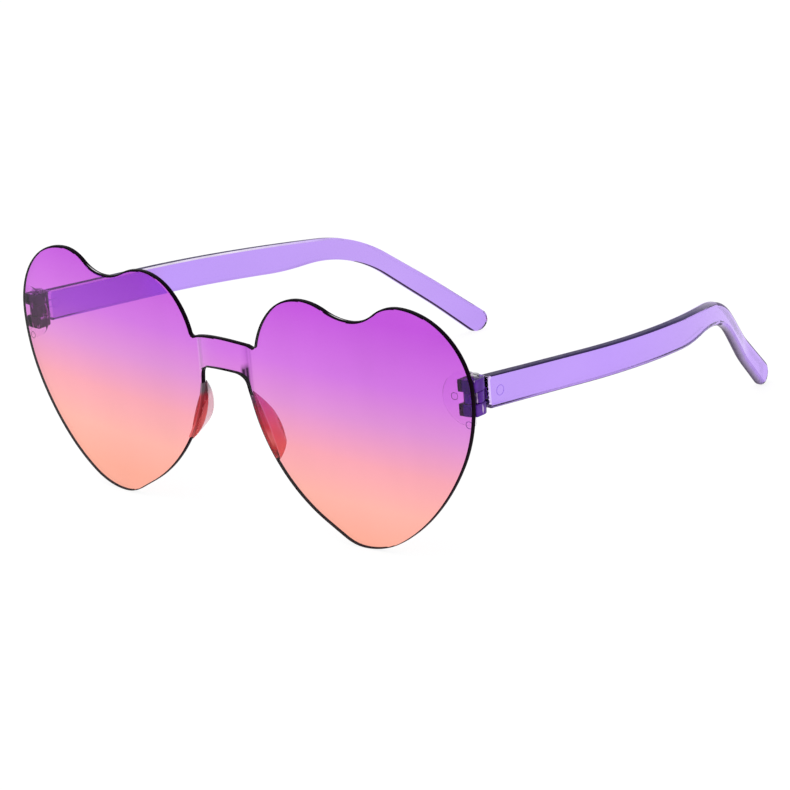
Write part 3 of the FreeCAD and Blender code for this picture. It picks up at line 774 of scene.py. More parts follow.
@dataclass
class RoundedPlate:
    """Even plate between two matched edge curves that share both ends, with all its edges rounded."""

    upper: np.ndarray
    lower: np.ndarray
    thickness: float
    rounding: float | np.ndarray
    fans: tuple[int, int]
    face_rows: int = 6
    round_rows: int = 6
    wall_rows: int = 5

    def loop(self) -> tuple[np.ndarray, np.ndarray, np.ndarray]:
        """Closed edge of the plate, its outward directions and the spine point that faces each edge point.

        The spine is the middle between the two curves; near each end it stays at one point, from which the
        face fans out.

        Returns:
            Edge points, unit outward directions and spine points.
        """
        edge = np.concatenate([self.upper, self.lower[-2:0:-1]])
        run = np.roll(edge, -1, axis=0) - np.roll(edge, 1, axis=0)
        run /= np.hypot(*run.T)[:, None]
        area = np.sum(edge[:, 0] * np.roll(edge[:, 1], -1) - edge[:, 1] * np.roll(edge[:, 0], -1))
        outward = np.stack([run[:, 1], -run[:, 0]], axis=1) * math.copysign(1.0, area)
        spine = 0.5 * (self.upper + self.lower)
        first, last = self.fans
        spine[:first] = spine[first]
        spine[-last:] = spine[-last - 1]
        return edge, outward, np.concatenate([spine, spine[-2:0:-1]])

    def surface(self, place: Place) -> tuple[np.ndarray, np.ndarray, np.ndarray, np.ndarray]:
        """Works out the plate as one grid: front face, rounded rim, back face.

        A face point is the spine point plus a share of the way to the edge, which stands in by the rounding
        radius; the last row but one lies close to it, so that the face shades flat. A rim point goes round a
        quarter circle, straight back and round a second quarter.

        Args:
            place: Gives places in space from plate coordinates and depths.

        Returns:
            Points, their depths, faces, and how far round the rim each row of faces is: 0 to 1 on the front
            rounding, 1 to 2 on the wall, 2 to 3 on the back rounding, and minus one on the two flat faces.
        """
        edge, outward, spine = self.loop()
        deep, count = self.thickness, len(edge)
        radius = np.broadcast_to(self.rounding, count)
        inner = edge - radius[:, None] * outward
        spoke = inner - spine
        tight = inner - SUPPORT * spoke / np.maximum(np.hypot(*spoke.T), 2.0 * SUPPORT)[:, None]
        share = np.linspace(0.0, 1.0, self.face_rows - 1)[:, None, None]
        face = np.concatenate([spine + share * (tight - spine), inner[None]])
        turn = np.linspace(0.0, 0.5 * math.pi, self.round_rows)
        wall = np.linspace(0.0, 1.0, self.wall_rows)[1:-1]
        stand = np.concatenate([np.sin(turn), np.ones(len(wall)), np.sin(turn)[::-1]])[1:-1]
        bend = np.outer(1.0 - np.cos(turn), radius)
        depth = np.concatenate([bend, radius + np.outer(wall, deep - 2.0 * radius), deep - bend[::-1]])[1:-1]
        rim = inner + stand[:, None, None] * radius[:, None] * outward
        flat = np.concatenate([face, rim, face[::-1]])
        level = np.zeros((self.face_rows, count))
        depths = np.concatenate([level, depth, level + deep])
        points = place(flat.reshape(-1, 2), depths.ravel())
        steps = (self.round_rows - 1, self.wall_rows - 1, self.round_rows - 1)
        rounds = [part + (np.arange(step) + 0.5) / step for part, step in enumerate(steps)]
        plain = np.full(self.face_rows - 1, -1.0)
        return points, depths.ravel(), grid_faces(len(depths), count), np.concatenate([plain, *rounds, plain])


@dataclass
class LensFront:
    """One sheet with two heart shaped lenses and a bowed bridge between them.

    A knot has its distance across, its height and the direction of the edge there in degrees.
    """

    half_width: float = 72.0
    thickness: float = 1.5
    wrap: float = 4.3
    rounding: float = 0.45
    crease_x: float = 8.0
    bridge_bow: float = 1.8
    bridge_end: tuple[float, float] = (9.0, 43.5)
    bridge_top_z: float = 45.0
    top_knots: tuple[tuple[float, float, float], ...] = (
        (10.4, 44.0, 75.6), (25.4, 56.9, 0.0), (39.3, 53.7, 0.0), (53.3, 58.5, 0.0), (72.0, 39.8, -90.0),
    )
    low_knots: tuple[tuple[float, float, float], ...] = (
        (72.0, 39.8, -90.0), (58.6, 10.0, 225.7), (39.0, 0.0, 180.0), (27.9, 4.5, 150.6), (7.2, 34.2, 98.9),
        (0.0, 37.2, 180.0),
    )
    arc_points: int = 240
    spans: tuple[int, ...] = (44, 34, 34, 44, 24, 20)
    nose_steps: int = 400
    nose_split: int = 300
    face_rows: int = 13
    # Where the painted highlight beside the dips comes in, and where the painted shade of the rim starts and ends.
    highlight_away: tuple[float, float, float, float] = (0.6, 2.4, 3.8, 6.0)
    front_line: tuple[Limits, Limits] = ((-0.2, 0.6), (0.0, 0.4))
    edge_to: float = 2.8
    root_x: float = 20.0
    root_z: Limits = (17.8, 31.8)
    root_from: Limits = (1.0, 0.0)
    tint: LensTint = LensTint()
    edge: LensEdge = LensEdge()
    root: LensRoot = LensRoot()

    @property
    def cusp_x(self) -> float:
        """Distance of the dip between the lobes from the centre line."""
        return self.top_knots[2][0]

    def front_y(self, x: np.ndarray) -> np.ndarray:
        """Depth of the front: a wide arc over the whole width, and a tighter arc forward over the bridge.

        Args:
            x: Distances from the centre line.

        Returns:
            Depth at each distance.
        """
        radius = (self.half_width ** 2 + self.wrap ** 2) / (2.0 * self.wrap)
        sheet = radius - np.sqrt(radius ** 2 - x ** 2)
        crease_y = radius - math.sqrt(radius ** 2 - self.crease_x ** 2)
        tight = (self.crease_x ** 2 + self.bridge_bow ** 2) / (2.0 * self.bridge_bow)
        bow = crease_y - self.bridge_bow + tight - np.sqrt(tight ** 2 - np.minimum(np.abs(x), self.crease_x) ** 2)
        return np.where(np.abs(x) < self.crease_x, bow, sheet)

    def curve(self, knots: Sequence[tuple[float, float, float]]) -> list[np.ndarray]:
        """Pairs of arcs from knot to knot.

        Args:
            knots: Place across, height and direction in degrees of each knot.

        Returns:
            One row of points for each stretch.
        """
        places = [np.array(knot[:2]) for knot in knots]
        angles = [math.radians(knot[2]) for knot in knots]
        ways = [np.array([math.cos(angle), math.sin(angle)]) for angle in angles]
        stretches = zip(places, ways, places[1:], ways[1:])
        return [biarc(*stretch, self.arc_points) for stretch in stretches]

    def half_edges(self) -> tuple[np.ndarray, np.ndarray]:
        """Upper and lower edge of one heart from its outer side to the centre line, matched stretch by stretch.

        The crease beside the bridge cuts both edges at the same distance across. The nose edge is split at three
        quarters of its length, and its last quarter faces the corner beside the bridge.

        Returns:
            Points of the upper edge and as many of the lower edge.
        """
        end, crease = np.array(self.bridge_end), self.crease_x
        slope = -2.0 * math.degrees(math.atan((self.bridge_top_z - end[1]) / end[0]))
        bridge = arc(np.array([0.0, self.bridge_top_z]), np.array([1.0, 0.0]), end, self.arc_points)
        top = self.curve([(*self.bridge_end, slope), *self.top_knots])
        low = self.curve(self.low_knots)
        top_crease = np.array([[crease, np.interp(crease, *bridge.T)]])
        over = np.concatenate([top_crease, bridge[bridge[:, 0] < crease][::-1]])
        corner = np.concatenate([bridge[bridge[:, 0] >= crease], top[0][1:]])
        corner = np.concatenate([corner[::-1], top_crease])
        nose = np.concatenate([low[3], low[4][1:]])
        low_crease = np.array([[crease, np.interp(crease, *nose[::-1].T)]])
        beside = np.concatenate([low[3][low[3][:, 0] > crease], low_crease])
        beside = resample(beside, self.nose_steps + 1)
        under = np.concatenate([low_crease, nose[nose[:, 0] < crease]])
        upper = chain([*(stretch[::-1] for stretch in top[:0:-1]), corner, over], self.spans)
        lower = chain([*low[:3], beside[:self.nose_split + 1], beside[self.nose_split:], under], self.spans)
        return upper, lower

    def place(self, flat: np.ndarray, depth: np.ndarray) -> np.ndarray:
        """Places in space: across and height as drawn, depth added to the curved front."""
        return spot(flat[:, 0], self.front_y(flat[:, 0]) + depth, flat[:, 1])

    def nose_x(self, height: np.ndarray) -> np.ndarray:
        """Distance of the nose edge from the centre line at given heights."""
        flank = self.curve(self.low_knots)[3]
        return np.interp(height, flank[:, 1], flank[:, 0])

    def build(self) -> bpy.types.Object:
        """Makes the sheet and dresses its faces and its rim.

        The rim is painted dark, as painted shade for the dark look of the cut rim, from the start of its front
        rounding, or from further round where it faces left, to most of the way round its back rounding. Beside the
        nose pads it has the root finish, which paints in the pad as seen through the rim, and beside the dips it is
        marked for the pale line of painted highlight.

        Returns:
            The piece that stands for the lens front.
        """
        flip = np.array([-1.0, 1.0])
        upper, lower = (np.concatenate([half, half[-2::-1] * flip]) for half in self.half_edges())
        fan = self.spans[0]
        plate = RoundedPlate(upper, lower, self.thickness, self.rounding, (fan, fan), self.face_rows)
        points, depth, faces, stage = plate.surface(self.place)
        (x, z), outward = plate.loop()[0].T, plate.loop()[1]
        stage = stage[:, None]
        root = (np.abs(x) < self.root_x) & (z > self.root_z[0]) & (z < self.root_z[1])
        finish = ((stage > np.interp(outward[:, 0], *self.front_line)) & (stage < self.edge_to)).astype(int)
        # The root finish paints in the pad as seen through the rim.
        finish[root & (stage > np.where(x > 0.0, *self.root_from))] = 2
        # Marks for the painted highlight beside the dips.
        away = np.copysign(self.cusp_x, x) - x
        gap = np.interp(away, self.highlight_away, (0.0, 1.0, 1.0, 0.0)) * (outward[:, 1] > 0.0)
        marks = {"depth": depth, "gap": np.tile(gap, len(points) // len(x))}
        finishes = (self.tint, self.edge, self.root)
        piece = make_piece("heart_lens_front", points, faces, finishes, finish.ravel(), marks)
        return settle(piece, "front", "lens_front")


@dataclass
class NosePad:
    """Bent vane behind a nose edge that grows thinner, shorter and lower towards its rounded rear rim."""

    side: Side
    lens: LensFront
    top_z: float = 32.4
    bottom_z: float = 17.2
    edge_inset: float = -1.2
    depth: float = 4.0
    splay: float = 0.8
    drop: float = 1.2
    foot_thickness: float = 3.1
    rim_thickness: float = 2.0
    rim_share: float = 0.4
    glue: float = 0.05
    foot_round: float = 0.15
    rim_round: float = 0.6
    end_taper: float = 0.9
    sweep_points: int = 33
    cap_points: int = 13
    round_points: int = 7
    wall_points: int = 12

    def ring(self, share: np.ndarray, inset: np.ndarray) -> np.ndarray:
        """Outlines of the vane at given shares of its depth.

        The spine is the circle through three points beside the nose edge; the outline keeps a distance from it
        that falls with the square of the way to each end, like a leaf, and closes round both ends. A point is
        a complex number, with the distance across as its real part and the height as its imaginary part.

        Args:
            share: Share of the depth of each outline, as a column.
            inset: How far each outline stands in from the full one, as a share of its half thickness, as a column.

        Returns:
            Points with one row for each outline.
        """
        middle = 0.5 * (self.top_z + self.bottom_z) - self.drop * share
        shrink = np.sqrt(1.0 - (1.0 - self.rim_share ** 2) * share)
        reach = 0.5 * (self.top_z - self.bottom_z) * shrink
        half = 0.5 * (self.foot_thickness + (self.rim_thickness - self.foot_thickness) * share) * (1.0 - inset)
        stand = self.edge_inset + 0.5 * self.foot_thickness + self.splay * share
        heights = (middle + reach, middle, middle - reach)
        top, between, bottom = (self.lens.nose_x(z) + stand + 1j * z for z in heights)
        rise = np.abs(top - bottom)
        across = -1j * (top - bottom) / rise
        chord_middle = 0.5 * (top + bottom)
        sag = ((between - chord_middle) * across.conj()).real
        radius = (0.25 * rise ** 2 + sag ** 2) / (2.0 * sag)
        centre = chord_middle + across * (sag - radius)
        swing = np.arcsin(np.clip(0.5 * rise / radius, -1.0, 1.0))
        sweep = np.linspace(-1.0, 1.0, self.sweep_points)
        way = across * np.exp(1j * swing * sweep)
        width = half * (1.0 - self.end_taper * sweep ** 2)
        cap = half * (1.0 - self.end_taper) * np.exp(1j * np.linspace(0.0, math.pi, self.cap_points)[1:-1])
        near, far = way * (radius + width), (way * (radius - width))[:, ::-1]
        upper_cap, lower_cap = way[:, -1:] * (radius + cap), way[:, :1] * (radius - cap)
        return centre + np.concatenate([near, upper_cap, far, lower_cap], axis=1)

    def build(self) -> bpy.types.Object:
        """Makes the vane from outlines set one behind the other, and dresses it.

        Returns:
            The piece that stands for the pad.
        """
        quarter = np.linspace(0.0, 0.5 * math.pi, self.round_points)
        foot = self.foot_round / (0.5 * self.foot_thickness)
        rim = self.rim_round / (0.5 * self.rim_thickness)
        wall = np.linspace(self.foot_round, self.depth - self.rim_round, self.wall_points)[1:-1]
        behind = np.concatenate([[0.0], self.foot_round * (1.0 - np.cos(quarter)), wall,
                                 self.depth - self.rim_round * (1.0 - np.sin(quarter)), [self.depth]])
        inset = np.concatenate([[1.0], foot * (1.0 - np.sin(quarter)), 0.0 * wall,
                                rim * (1.0 - np.cos(quarter)), [1.0]])
        flat = self.ring(behind[:, None] / self.depth, inset[:, None])
        low_x = self.lens.nose_x(np.array(self.bottom_z)) + self.foot_thickness
        seat = float(self.lens.front_y(low_x)) + self.lens.thickness + self.glue
        behind = np.repeat(behind, flat.shape[1])
        points = spot(self.side.value * flat.real.ravel(), seat + behind, flat.imag.ravel())
        piece = make_piece("clear_pad_" + self.side.label, points, grid_faces(*flat.shape), [PadPlastic(self.side)],
                           marks={"behind": behind})
        return settle(piece, "front", "nose_pad_" + self.side.label)


@dataclass
class Temple:
    """Side arm: an even bar with a taper, bowed outward, bent down behind the ear, with a hinge tongue."""

    side: Side
    front_x: float = 70.0
    front_y: float = 10.767
    middle_z: float = 39.4
    thickness: float = 3.0
    front_height: float = 7.5
    bend_height: float = 4.3
    tail_height: float = 6.1
    rounding: tuple[float, ...] = (0.5, 0.7, 0.9, 1.25)
    rounding_back: tuple[float, ...] = (0.0, 15.0, 85.0, 112.0)
    corner_round: float = 0.9
    bow_out: float = 1.7
    bow_back: float = 73.0
    bow_radius: float = 170.0
    flare_inset: float = 19.6
    flare_back: float = 117.0
    flare_radius: float = 30.0
    tail_inset: float = 23.0
    bend_back: float = 96.8
    bend_drop: float = 8.4
    bend_radius: float = 30.0
    tail_back: float = 128.6
    taper_back: float = 77.0
    taper_radius: float = 60.0
    plan_points: int = 200
    side_points: int = 80
    tip_points: int = 40
    spans: tuple[int, ...] = (9, 7, 110, 40, 40, 18)
    fans: tuple[int, int] = (18, 20)
    face_rows: int = 7
    bend_share: float = 0.97
    # The line, band and under limits place painted shade on the rim, and the highlight limit a painted pale highlight
    # beside the band.
    line_from: Limits = (0.4, 0.2)
    line_to: float = 1.3
    band: Limits = (0.4, 2.0)
    highlight_to: float = 2.6
    under_lean: float = -0.4
    under: ClassVar[dict[Side, Limits]] = {Side.LEFT: (0.0, 3.0), Side.RIGHT: (1.7, 2.45)}
    tongue_radius: float = 2.3
    tongue_low_z: float = 38.1
    tongue_high_z: float = 40.7
    tongue_root_half: float = 0.8
    tongue_sink: float = 0.05
    tongue_round: float = 0.15
    tongue_points: int = 60
    tongue_spans: tuple[int, ...] = (16, 12, 8)
    tongue_fans: tuple[int, int] = (8, 9)
    clear: FootPlastic = FootPlastic("arm_end")

    @property
    def tint(self) -> TempleTint:
        """Finish of the faces of the arm."""
        return TempleTint(self.side)

    def centre_x(self, y: np.ndarray) -> tuple[np.ndarray, np.ndarray]:
        """Centre line seen from above: a little outward, an arc inward, then an arc back outward at the tail.

        Args:
            y: Places along the arm.

        Returns:
            Distance from the centre plane and the stretch across for each place.
        """
        front = np.array([self.front_x, self.front_y])
        bow = front + np.array([self.bow_out, self.bow_back])
        flare = front + np.array([-self.flare_inset, self.flare_back])
        tip = front + np.array([-self.tail_inset, self.tail_back])
        end = tip + unit(tip - flare) * 2.0 * self.tail_height
        radii = (self.bow_radius, self.flare_radius)
        line = np.concatenate(rounded_run((front, bow, flare, end), radii, self.plan_points))
        line = line[np.concatenate([[True], np.diff(line[:, 1]) > PARALLEL])]
        slope = np.gradient(line[:, 0], line[:, 1])
        return np.interp(y, line[:, 1], line[:, 0]), np.hypot(1.0, np.interp(y, line[:, 1], slope))

    def edges(self) -> tuple[np.ndarray, np.ndarray]:
        """Upper and lower edge seen from the side, from the middle of the square end to the tip.

        The upper edge is straight to the bend. The lower one runs beside it, then closes in on it towards the
        narrow bend. From there both go straight down to the round tip.

        Returns:
            Points of the upper edge and as many of the lower edge, each as place along and height.
        """
        front = np.array([self.front_y, self.middle_z])
        bend = front + np.array([self.bend_back, -self.bend_drop])
        tail_half, bend_half = 0.5 * self.tail_height, 0.5 * self.bend_height
        tip = np.array([self.front_y + self.tail_back, tail_half])
        fall = unit(tip - bend)
        up = np.array([0.0, 0.5 * self.front_height])
        above, beyond = quarter_turn(unit(bend - front)), quarter_turn(fall)
        bisector = unit(above + beyond)
        mitre = bisector * (bend_half / float(bisector @ above))
        taper = front - up + unit(bend + mitre - front - up) * self.taper_back
        top = rounded_run((front, front + up, bend + mitre, tip + beyond * tail_half),
                          (self.corner_round, self.bend_radius + bend_half), self.side_points)
        low = rounded_run((front, front - up, taper, bend - mitre, tip - beyond * tail_half),
                          (self.corner_round, self.taper_radius, self.bend_radius - bend_half), self.side_points)
        low[2:5] = [np.concatenate(low[2:5])]
        end = tip + fall * tail_half
        upper, lower = (chain([*run, arc(run[-1][-1], fall, end, self.tip_points)], self.spans) for run in (top, low))
        return upper, lower

    def place_arm(self, flat: np.ndarray, depth: np.ndarray) -> np.ndarray:
        """Places in space: along and height as drawn, depth in from the outer face across the centre line."""
        middle, stretch = self.centre_x(flat[:, 0])
        return spot(self.side.value * (middle + (0.5 * self.thickness - depth) * stretch), *flat.T)

    def place_tongue(self, flat: np.ndarray, depth: np.ndarray) -> np.ndarray:
        """Places in space: along and across as drawn, depth up from the underside."""
        return spot(self.side.value * flat[:, 1], flat[:, 0], self.tongue_low_z + depth)

    def rim_choice(self, back: np.ndarray, outward: np.ndarray, stage: np.ndarray) -> np.ndarray:
        """Chooses the finish of each face of the arm.

        The top is painted dark from the outer rounding to the inner one, as painted shade, with a pale painted
        highlight beside it, as far as the bend. The tail has painted shade underneath where its rim faces forward, on
        the right arm only near its inner face. The left arm also has a thin dark line of painted shade round its
        outer face, a little broader behind the bend.

        Args:
            back: Distance of each edge point behind the square end.
            outward: Outward direction at each edge point, backward and upward.
            stage: How far round the rim each row of faces is, as a column.

        Returns:
            Number of the finish: tint, clear, line, band, highlight or under.
        """
        ahead = back < self.bend_share * self.bend_back
        top = (outward[:, 1] > 0.0) & ahead
        # Painted shade on the band, the under and the line finishes, and a painted highlight beside the band.
        band = (stage > self.band[0]) & (stage < self.band[1]) & top
        gap = (stage > self.band[1]) & (stage < self.highlight_to) & top
        first, last = self.under[self.side]
        under = (stage > first) & (stage < last) & (outward[:, 0] < self.under_lean) & (back > self.taper_back)
        line = (stage > np.where(ahead, *self.line_from)) & (stage < self.line_to) & (self.side is Side.LEFT)
        end = (stage > 0.0) & (back < self.corner_round)
        return np.select((end, band, gap, under, line), (1, 3, 4, 5, 2), 0)

    def build_arm(self) -> bpy.types.Object:
        """Makes the arm and dresses its faces and its rim.

        Returns:
            The piece that stands for the arm.
        """
        upper, lower = self.edges()
        back = np.concatenate([upper, lower[-2:0:-1]])[:, 0] - self.front_y
        rounding = np.interp(back, self.rounding_back, self.rounding)
        plate = RoundedPlate(upper, lower, self.thickness, rounding, self.fans, self.face_rows)
        points, depth, faces, stage = plate.surface(self.place_arm)
        finish = self.rim_choice(back, plate.loop()[1], stage[:, None])
        finishes = (self.tint, self.clear, ARM_LINE, ARM_BAND, ARM_HIGHLIGHT, ARM_UNDER)
        piece = make_piece("arm_" + self.side.label, points, faces, finishes, finish.ravel(), {"depth": depth})
        return settle(piece, self.side.temple_body, "temple_" + self.side.label)

    def build_tongue(self) -> bpy.types.Object:
        """Makes the round knuckle that reaches from the arm into the hinge, and dresses it.

        Returns:
            The piece that stands for the tongue.
        """
        across, along = PIVOT
        nose = np.array([along - self.tongue_radius, across])
        root = np.array([self.front_y + self.tongue_sink, self.front_x])
        sides = []
        for sign in (1.0, -1.0):
            shoulder = np.array([along, across + sign * self.tongue_radius])
            corner = root + np.array([0.0, sign * self.tongue_root_half])
            round_nose = arc(nose, np.array([0.0, sign]), shoulder, self.tongue_points)
            paths = (round_nose, np.array([shoulder, corner]), np.array([corner, root]))
            sides.append(chain(paths, self.tongue_spans))
        height = self.tongue_high_z - self.tongue_low_z
        plate = RoundedPlate(*sides, height, self.tongue_round, self.tongue_fans)
        points, _, faces, _ = plate.surface(self.place_tongue)
        piece = make_piece("tongue_" + self.side.label, points, faces, [HingePlastic(self.side)])
        return settle(piece, self.side.temple_body, "temple_" + self.side.label)


@dataclass
class Hinge:
    """Block hinge: clear round foot behind the lens, two dark lugs on it, and the screw through them."""

    side: Side
    lens: LensFront
    radius: float = 2.3
    foot_radius: float = 6.3
    foot_outer: float = 1.6
    foot_thickness: float = 0.6
    foot_round: float = 0.25
    foot_points: int = 200
    foot_spans: tuple[int, ...] = (8, 90, 8)
    foot_fans: tuple[int, int] = (4, 4)
    notch_rounds: tuple[float, ...] = (0.4, 0.6, 0.6, 0.4)
    notch_points: int = 20
    glue: float = 0.05
    lug_low_z: tuple[float, float] = (35.2, 40.8)
    lug_height: float = 2.8
    lug_round: float = 0.25
    lug_sink: float = 0.06
    lug_corner: float = 0.35
    corner_points: int = 12
    crown_points: int = 60
    lug_spans: tuple[int, ...] = (8, 6, 12, 18)
    lug_fans: tuple[int, int] = (9, 9)
    slot_z: Limits = (38.0, 40.8)
    room: float = 0.3
    middle_z: float = 39.4
    foot: FootPlastic = FootPlastic()
    steel: ScrewSteel = ScrewSteel()

    def seat_y(self, x: np.ndarray) -> np.ndarray:
        """Depth of the lens back with its bond at given distances from the centre line."""
        return self.lens.front_y(x) + self.lens.thickness + self.glue

    def place_foot(self, flat: np.ndarray, depth: np.ndarray) -> np.ndarray:
        """Places in space: across and height as drawn, depth behind the bond."""
        return spot(self.side.value * flat[:, 0], self.seat_y(flat[:, 0]) + depth, flat[:, 1])

    def place_lug(self, flat: np.ndarray, depth: np.ndarray) -> np.ndarray:
        """Places of a lug whose underside is at height 0: across and along as drawn, depth upward."""
        return spot(self.side.value * flat[:, 0], flat[:, 1], depth)

    def build_foot(self) -> bpy.types.Object:
        """Makes the foot: a disc cut straight beside the lens edge and open where the tongue turns.

        The surface runs between the outer edge, most of a circle, and the edge of the opening.

        Returns:
            The piece that stands for the foot.
        """
        across = PIVOT[0]
        cut_x, notch_x = across + self.foot_outer, across - self.radius - self.room
        low, high = self.slot_z
        rise = math.sqrt(self.foot_radius ** 2 - self.foot_outer ** 2)
        start = np.array([cut_x, 0.5 * (high + self.middle_z + rise)])
        end = np.array([cut_x, 0.5 * (low + self.middle_z - rise)])
        swing = math.atan2(rise, self.foot_outer)
        turn = np.linspace(swing, 2.0 * math.pi - swing, self.foot_points)
        spokes = np.stack([np.cos(turn), np.sin(turn)], axis=1)
        rim = np.array([across, self.middle_z]) + self.foot_radius * spokes
        corners = np.array([start, [cut_x, high], [notch_x, high], [notch_x, low], [cut_x, low], end])
        notch = rounded_run(corners, self.notch_rounds, self.notch_points)
        outer = chain((np.array([start, rim[0]]), rim, np.array([rim[-1], end])), self.foot_spans)
        inner = chain((notch[0], np.concatenate(notch[1:-1]), notch[-1]), self.foot_spans)
        plate = RoundedPlate(outer, inner, self.foot_thickness, self.foot_round, self.foot_fans)
        points, _, faces, _ = plate.surface(self.place_foot)
        return self.finish_piece("hinge_foot_", points, faces, self.foot)

    def build_lugs(self) -> bpy.types.Object:
        """Makes both lugs: level plates with a round rear end, one above the other.

        Returns:
            The piece that stands for the lugs.
        """
        across, along = PIVOT
        front = self.seat_y(np.array([across - self.radius, across + self.radius])) + self.lug_sink
        start = np.array([across, float(front.mean())])
        rear = np.array([across, along + self.radius])
        sides = []
        for sign, low in ((1.0, front[1]), (-1.0, front[0])):
            corner = np.array([across + sign * self.radius, low])
            shoulder = np.array([across + sign * self.radius, along])
            crown = arc(shoulder, np.array([0.0, 1.0]), rear, self.crown_points)
            square = rounded_run((start, corner, shoulder), (self.lug_corner,), self.corner_points)
            sides.append(chain([*square, crown], self.lug_spans))
        plate = RoundedPlate(*sides, self.lug_height, self.lug_round, self.lug_fans)
        points, _, faces, _ = plate.surface(self.place_lug)
        both = np.concatenate([points + np.array([0.0, 0.0, low_z]) for low_z in self.lug_low_z])
        faces = np.concatenate([faces, faces + len(points)])
        return self.finish_piece("hinge_lugs_", both, faces, HingePlastic(self.side))

    def finish_piece(self, name: str, points: np.ndarray, faces: np.ndarray, finish: Finish) -> bpy.types.Object:
        """Makes one piece of the hinge base from its surface, with a name that the side completes."""
        piece = make_piece(name + self.side.label, points, faces, [finish])
        return settle(piece, "front", "hinge_base_" + self.side.label)

    def dress_screw(self) -> bpy.types.Object:
        """Gives the solid of the screw its finish.

        Returns:
            The solid.
        """
        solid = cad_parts["hinge_screw_" + self.side.label]
        solid.data.materials.clear()
        solid.data.materials.append(self.steel.material())
        return solid


@dataclass
class MouldMarks:
    """Small round marks that the mould leaves: raised rings on the hinge foot, the lens and the arm."""

    side: Side
    hinge: Hinge
    arm: Temple
    ring_radius: float = 0.8
    wire: float = 0.06
    foot_mark: tuple[float, float] = (66.1, 39.5)
    lens_mark: tuple[float, float] = (69.9, 33.4)
    arm_mark: tuple[float, float] = (14.3, 39.1)
    arm_ring_radius: float = 1.15
    ring_points: int = 49
    wire_points: int = 12

    def ring(self, radius: float) -> tuple[np.ndarray, np.ndarray, np.ndarray]:
        """Round wire bent to a circle.

        A point goes round the wire by one angle and round the circle by the other.

        Args:
            radius: Radius of the circle.

        Returns:
            Two coordinates in the plane of the circle, height above it, and the faces.
        """
        round_circle = np.linspace(0.0, 2.0 * math.pi, self.ring_points)
        round_wire = np.linspace(0.0, 2.0 * math.pi, self.wire_points, endpoint=False)
        turn, roll = np.meshgrid(round_circle, round_wire, indexing="ij")
        spoke = radius + self.wire * np.cos(roll)
        flat = np.stack([(spoke * np.cos(turn)).ravel(), (spoke * np.sin(turn)).ravel()], axis=1)
        return flat, (self.wire * np.sin(roll)).ravel(), grid_faces(self.ring_points, self.wire_points)

    def build_front(self) -> bpy.types.Object:
        """Makes the rings on the foot and on the lens back.

        Returns:
            The piece with both rings.
        """
        flat, height, faces = self.ring(self.ring_radius)
        on_foot = self.hinge.place_foot(flat + np.array(self.foot_mark), height + self.hinge.foot_thickness)
        on_lens = self.hinge.place_foot(flat + np.array(self.lens_mark), height - self.hinge.glue)
        points, faces = np.concatenate([on_foot, on_lens]), np.concatenate([faces, faces + len(flat)])
        piece = make_piece("mould_rings_" + self.side.label, points, faces, [HingePlastic(self.side)])
        return settle(piece, "front")

    def build_arm(self) -> bpy.types.Object:
        """Makes the ring on the outer face of the arm.

        Returns:
            The piece with the ring.
        """
        flat, height, faces = self.ring(self.arm_ring_radius)
        points = self.arm.place_arm(flat + np.array(self.arm_mark), -height)
        piece = make_piece("arm_ring_" + self.side.label, points, faces, [self.arm.tint])
        return settle(piece, self.side.temple_body)


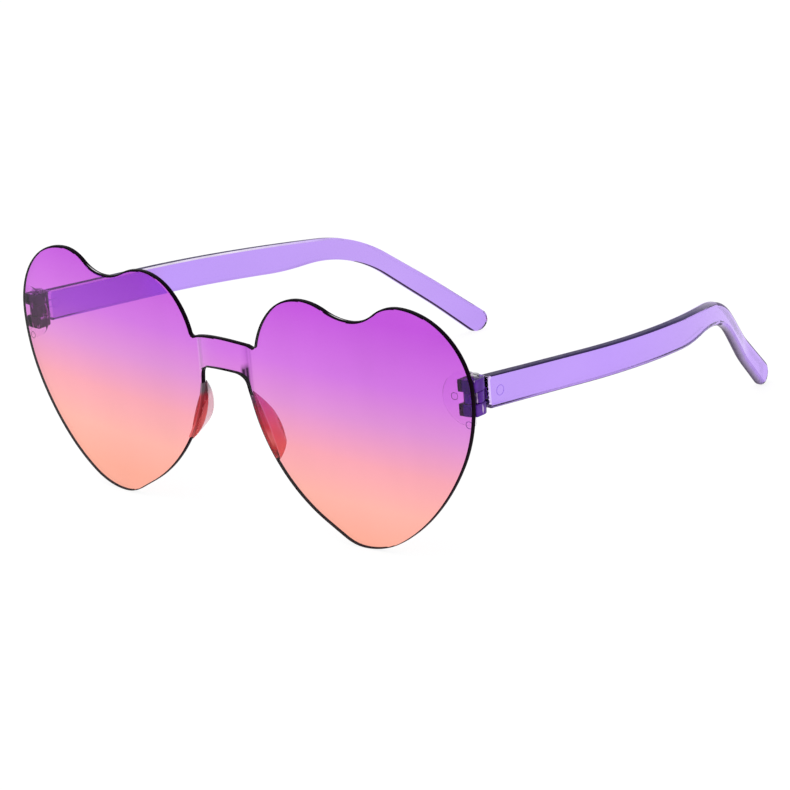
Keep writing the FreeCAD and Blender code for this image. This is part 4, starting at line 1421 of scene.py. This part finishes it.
@dataclass
class Studio:
    """White table, even light from all round with a soft lamp above, and the camera.

    The lamp's size and place and the table's half width are in metres.
    """

    azimuth: float = 43.401
    elevation: float = 18.0
    roll: float = -4.698
    focus_pixels: float = 3800.0
    image_pixels: float = 790.0
    distance: float = 835.9
    target: tuple[float, float, float] = (53.31, DEPTH_SHIFT, 39.21)
    sensor: float = 36.0
    floor_half: float = 6.0
    floor_drop: float = 0.02
    world_light: float = 0.76
    lamp_power: float = 6.0
    lamp_size: float = 0.9
    lamp_place: tuple[float, float, float] = (-0.35, -0.25, 1.3)
    paper: FloorPaper = FloorPaper()

    def build_floor(self) -> None:
        """Lays the table: an even grid of four faces just under the object."""
        steps = np.linspace(-self.floor_half, self.floor_half, 3) / MM
        x, y = np.meshgrid(steps, steps)
        points = np.stack([x.ravel(), y.ravel(), np.full(x.size, -self.floor_drop)], axis=1)
        faces = np.array([0, 1, 3, 4])[:, None] + np.array([0, 1, 4, 3])
        make_piece("floor", points, faces, [self.paper])

    def light(self) -> None:
        """Sets an even white surround, and one broad lamp."""
        world = bpy.data.worlds.new("surround")
        world.use_nodes = True
        sheet = NodeSheet(world.node_tree)
        surround = sheet.tree.nodes["Background"]
        surround.inputs["Color"].default_value = linear(WHITE)
        level = sheet.spread(sheet.seen_rays(), self.world_light, 1.0)
        sheet.tree.links.new(level, surround.inputs["Strength"])
        bpy.context.scene.world = world
        lamp = bpy.data.lights.new("soft_lamp", "AREA")
        lamp.energy = self.lamp_power
        lamp.size = self.lamp_size
        holder = bpy.data.objects.new("soft_lamp", lamp)
        holder.location = self.lamp_place
        holder.rotation_euler = (-Vector(self.lamp_place)).to_track_quat("-Z", "Y").to_euler()
        bpy.context.scene.collection.objects.link(holder)

    def aim(self) -> None:
        """Places the camera by its turn, height and roll about the target."""
        turn, rise, roll = (math.radians(angle) for angle in (self.azimuth, self.elevation, self.roll))
        back = Vector((math.sin(turn) * math.cos(rise), -math.cos(turn) * math.cos(rise), math.sin(rise)))
        level = Vector((math.cos(turn), math.sin(turn), 0.0))
        upright = back.cross(level)
        right = math.cos(roll) * level + math.sin(roll) * upright
        up = math.cos(roll) * upright - math.sin(roll) * level
        lens = bpy.data.cameras.new("camera")
        lens.sensor_width = self.sensor
        lens.lens = self.focus_pixels / self.image_pixels * self.sensor
        camera = bpy.data.objects.new("camera", lens)
        turned = Matrix((right, up, back)).transposed().to_4x4()
        camera.matrix_world = Matrix.Translation((Vector(self.target) + self.distance * back) * MM) @ turned
        bpy.context.scene.collection.objects.link(camera)
        bpy.context.scene.camera = camera

    def build(self) -> None:
        """Sets up the table, the light and the camera."""
        self.build_floor()
        self.light()
        self.aim()
        bpy.context.scene.view_settings.view_transform = "Standard"


def report(piece: bpy.types.Object) -> None:
    """Logs the name of a piece and the number of its faces."""
    log.info("%s: %d faces", piece.name, len(piece.data.polygons))


def main() -> None:
    """Builds and dresses every piece in order."""
    lens = LensFront()
    report(lens.build())
    for side in Side:
        hinge, temple = Hinge(side, lens), Temple(side)
        marks = MouldMarks(side, hinge, temple)
        for build in (NosePad(side, lens).build, hinge.build_foot, hinge.build_lugs, hinge.dress_screw,
                      temple.build_arm, temple.build_tongue, marks.build_front, marks.build_arm):
            report(build())
    Studio().build()


if __name__ == "__main__":
    main()
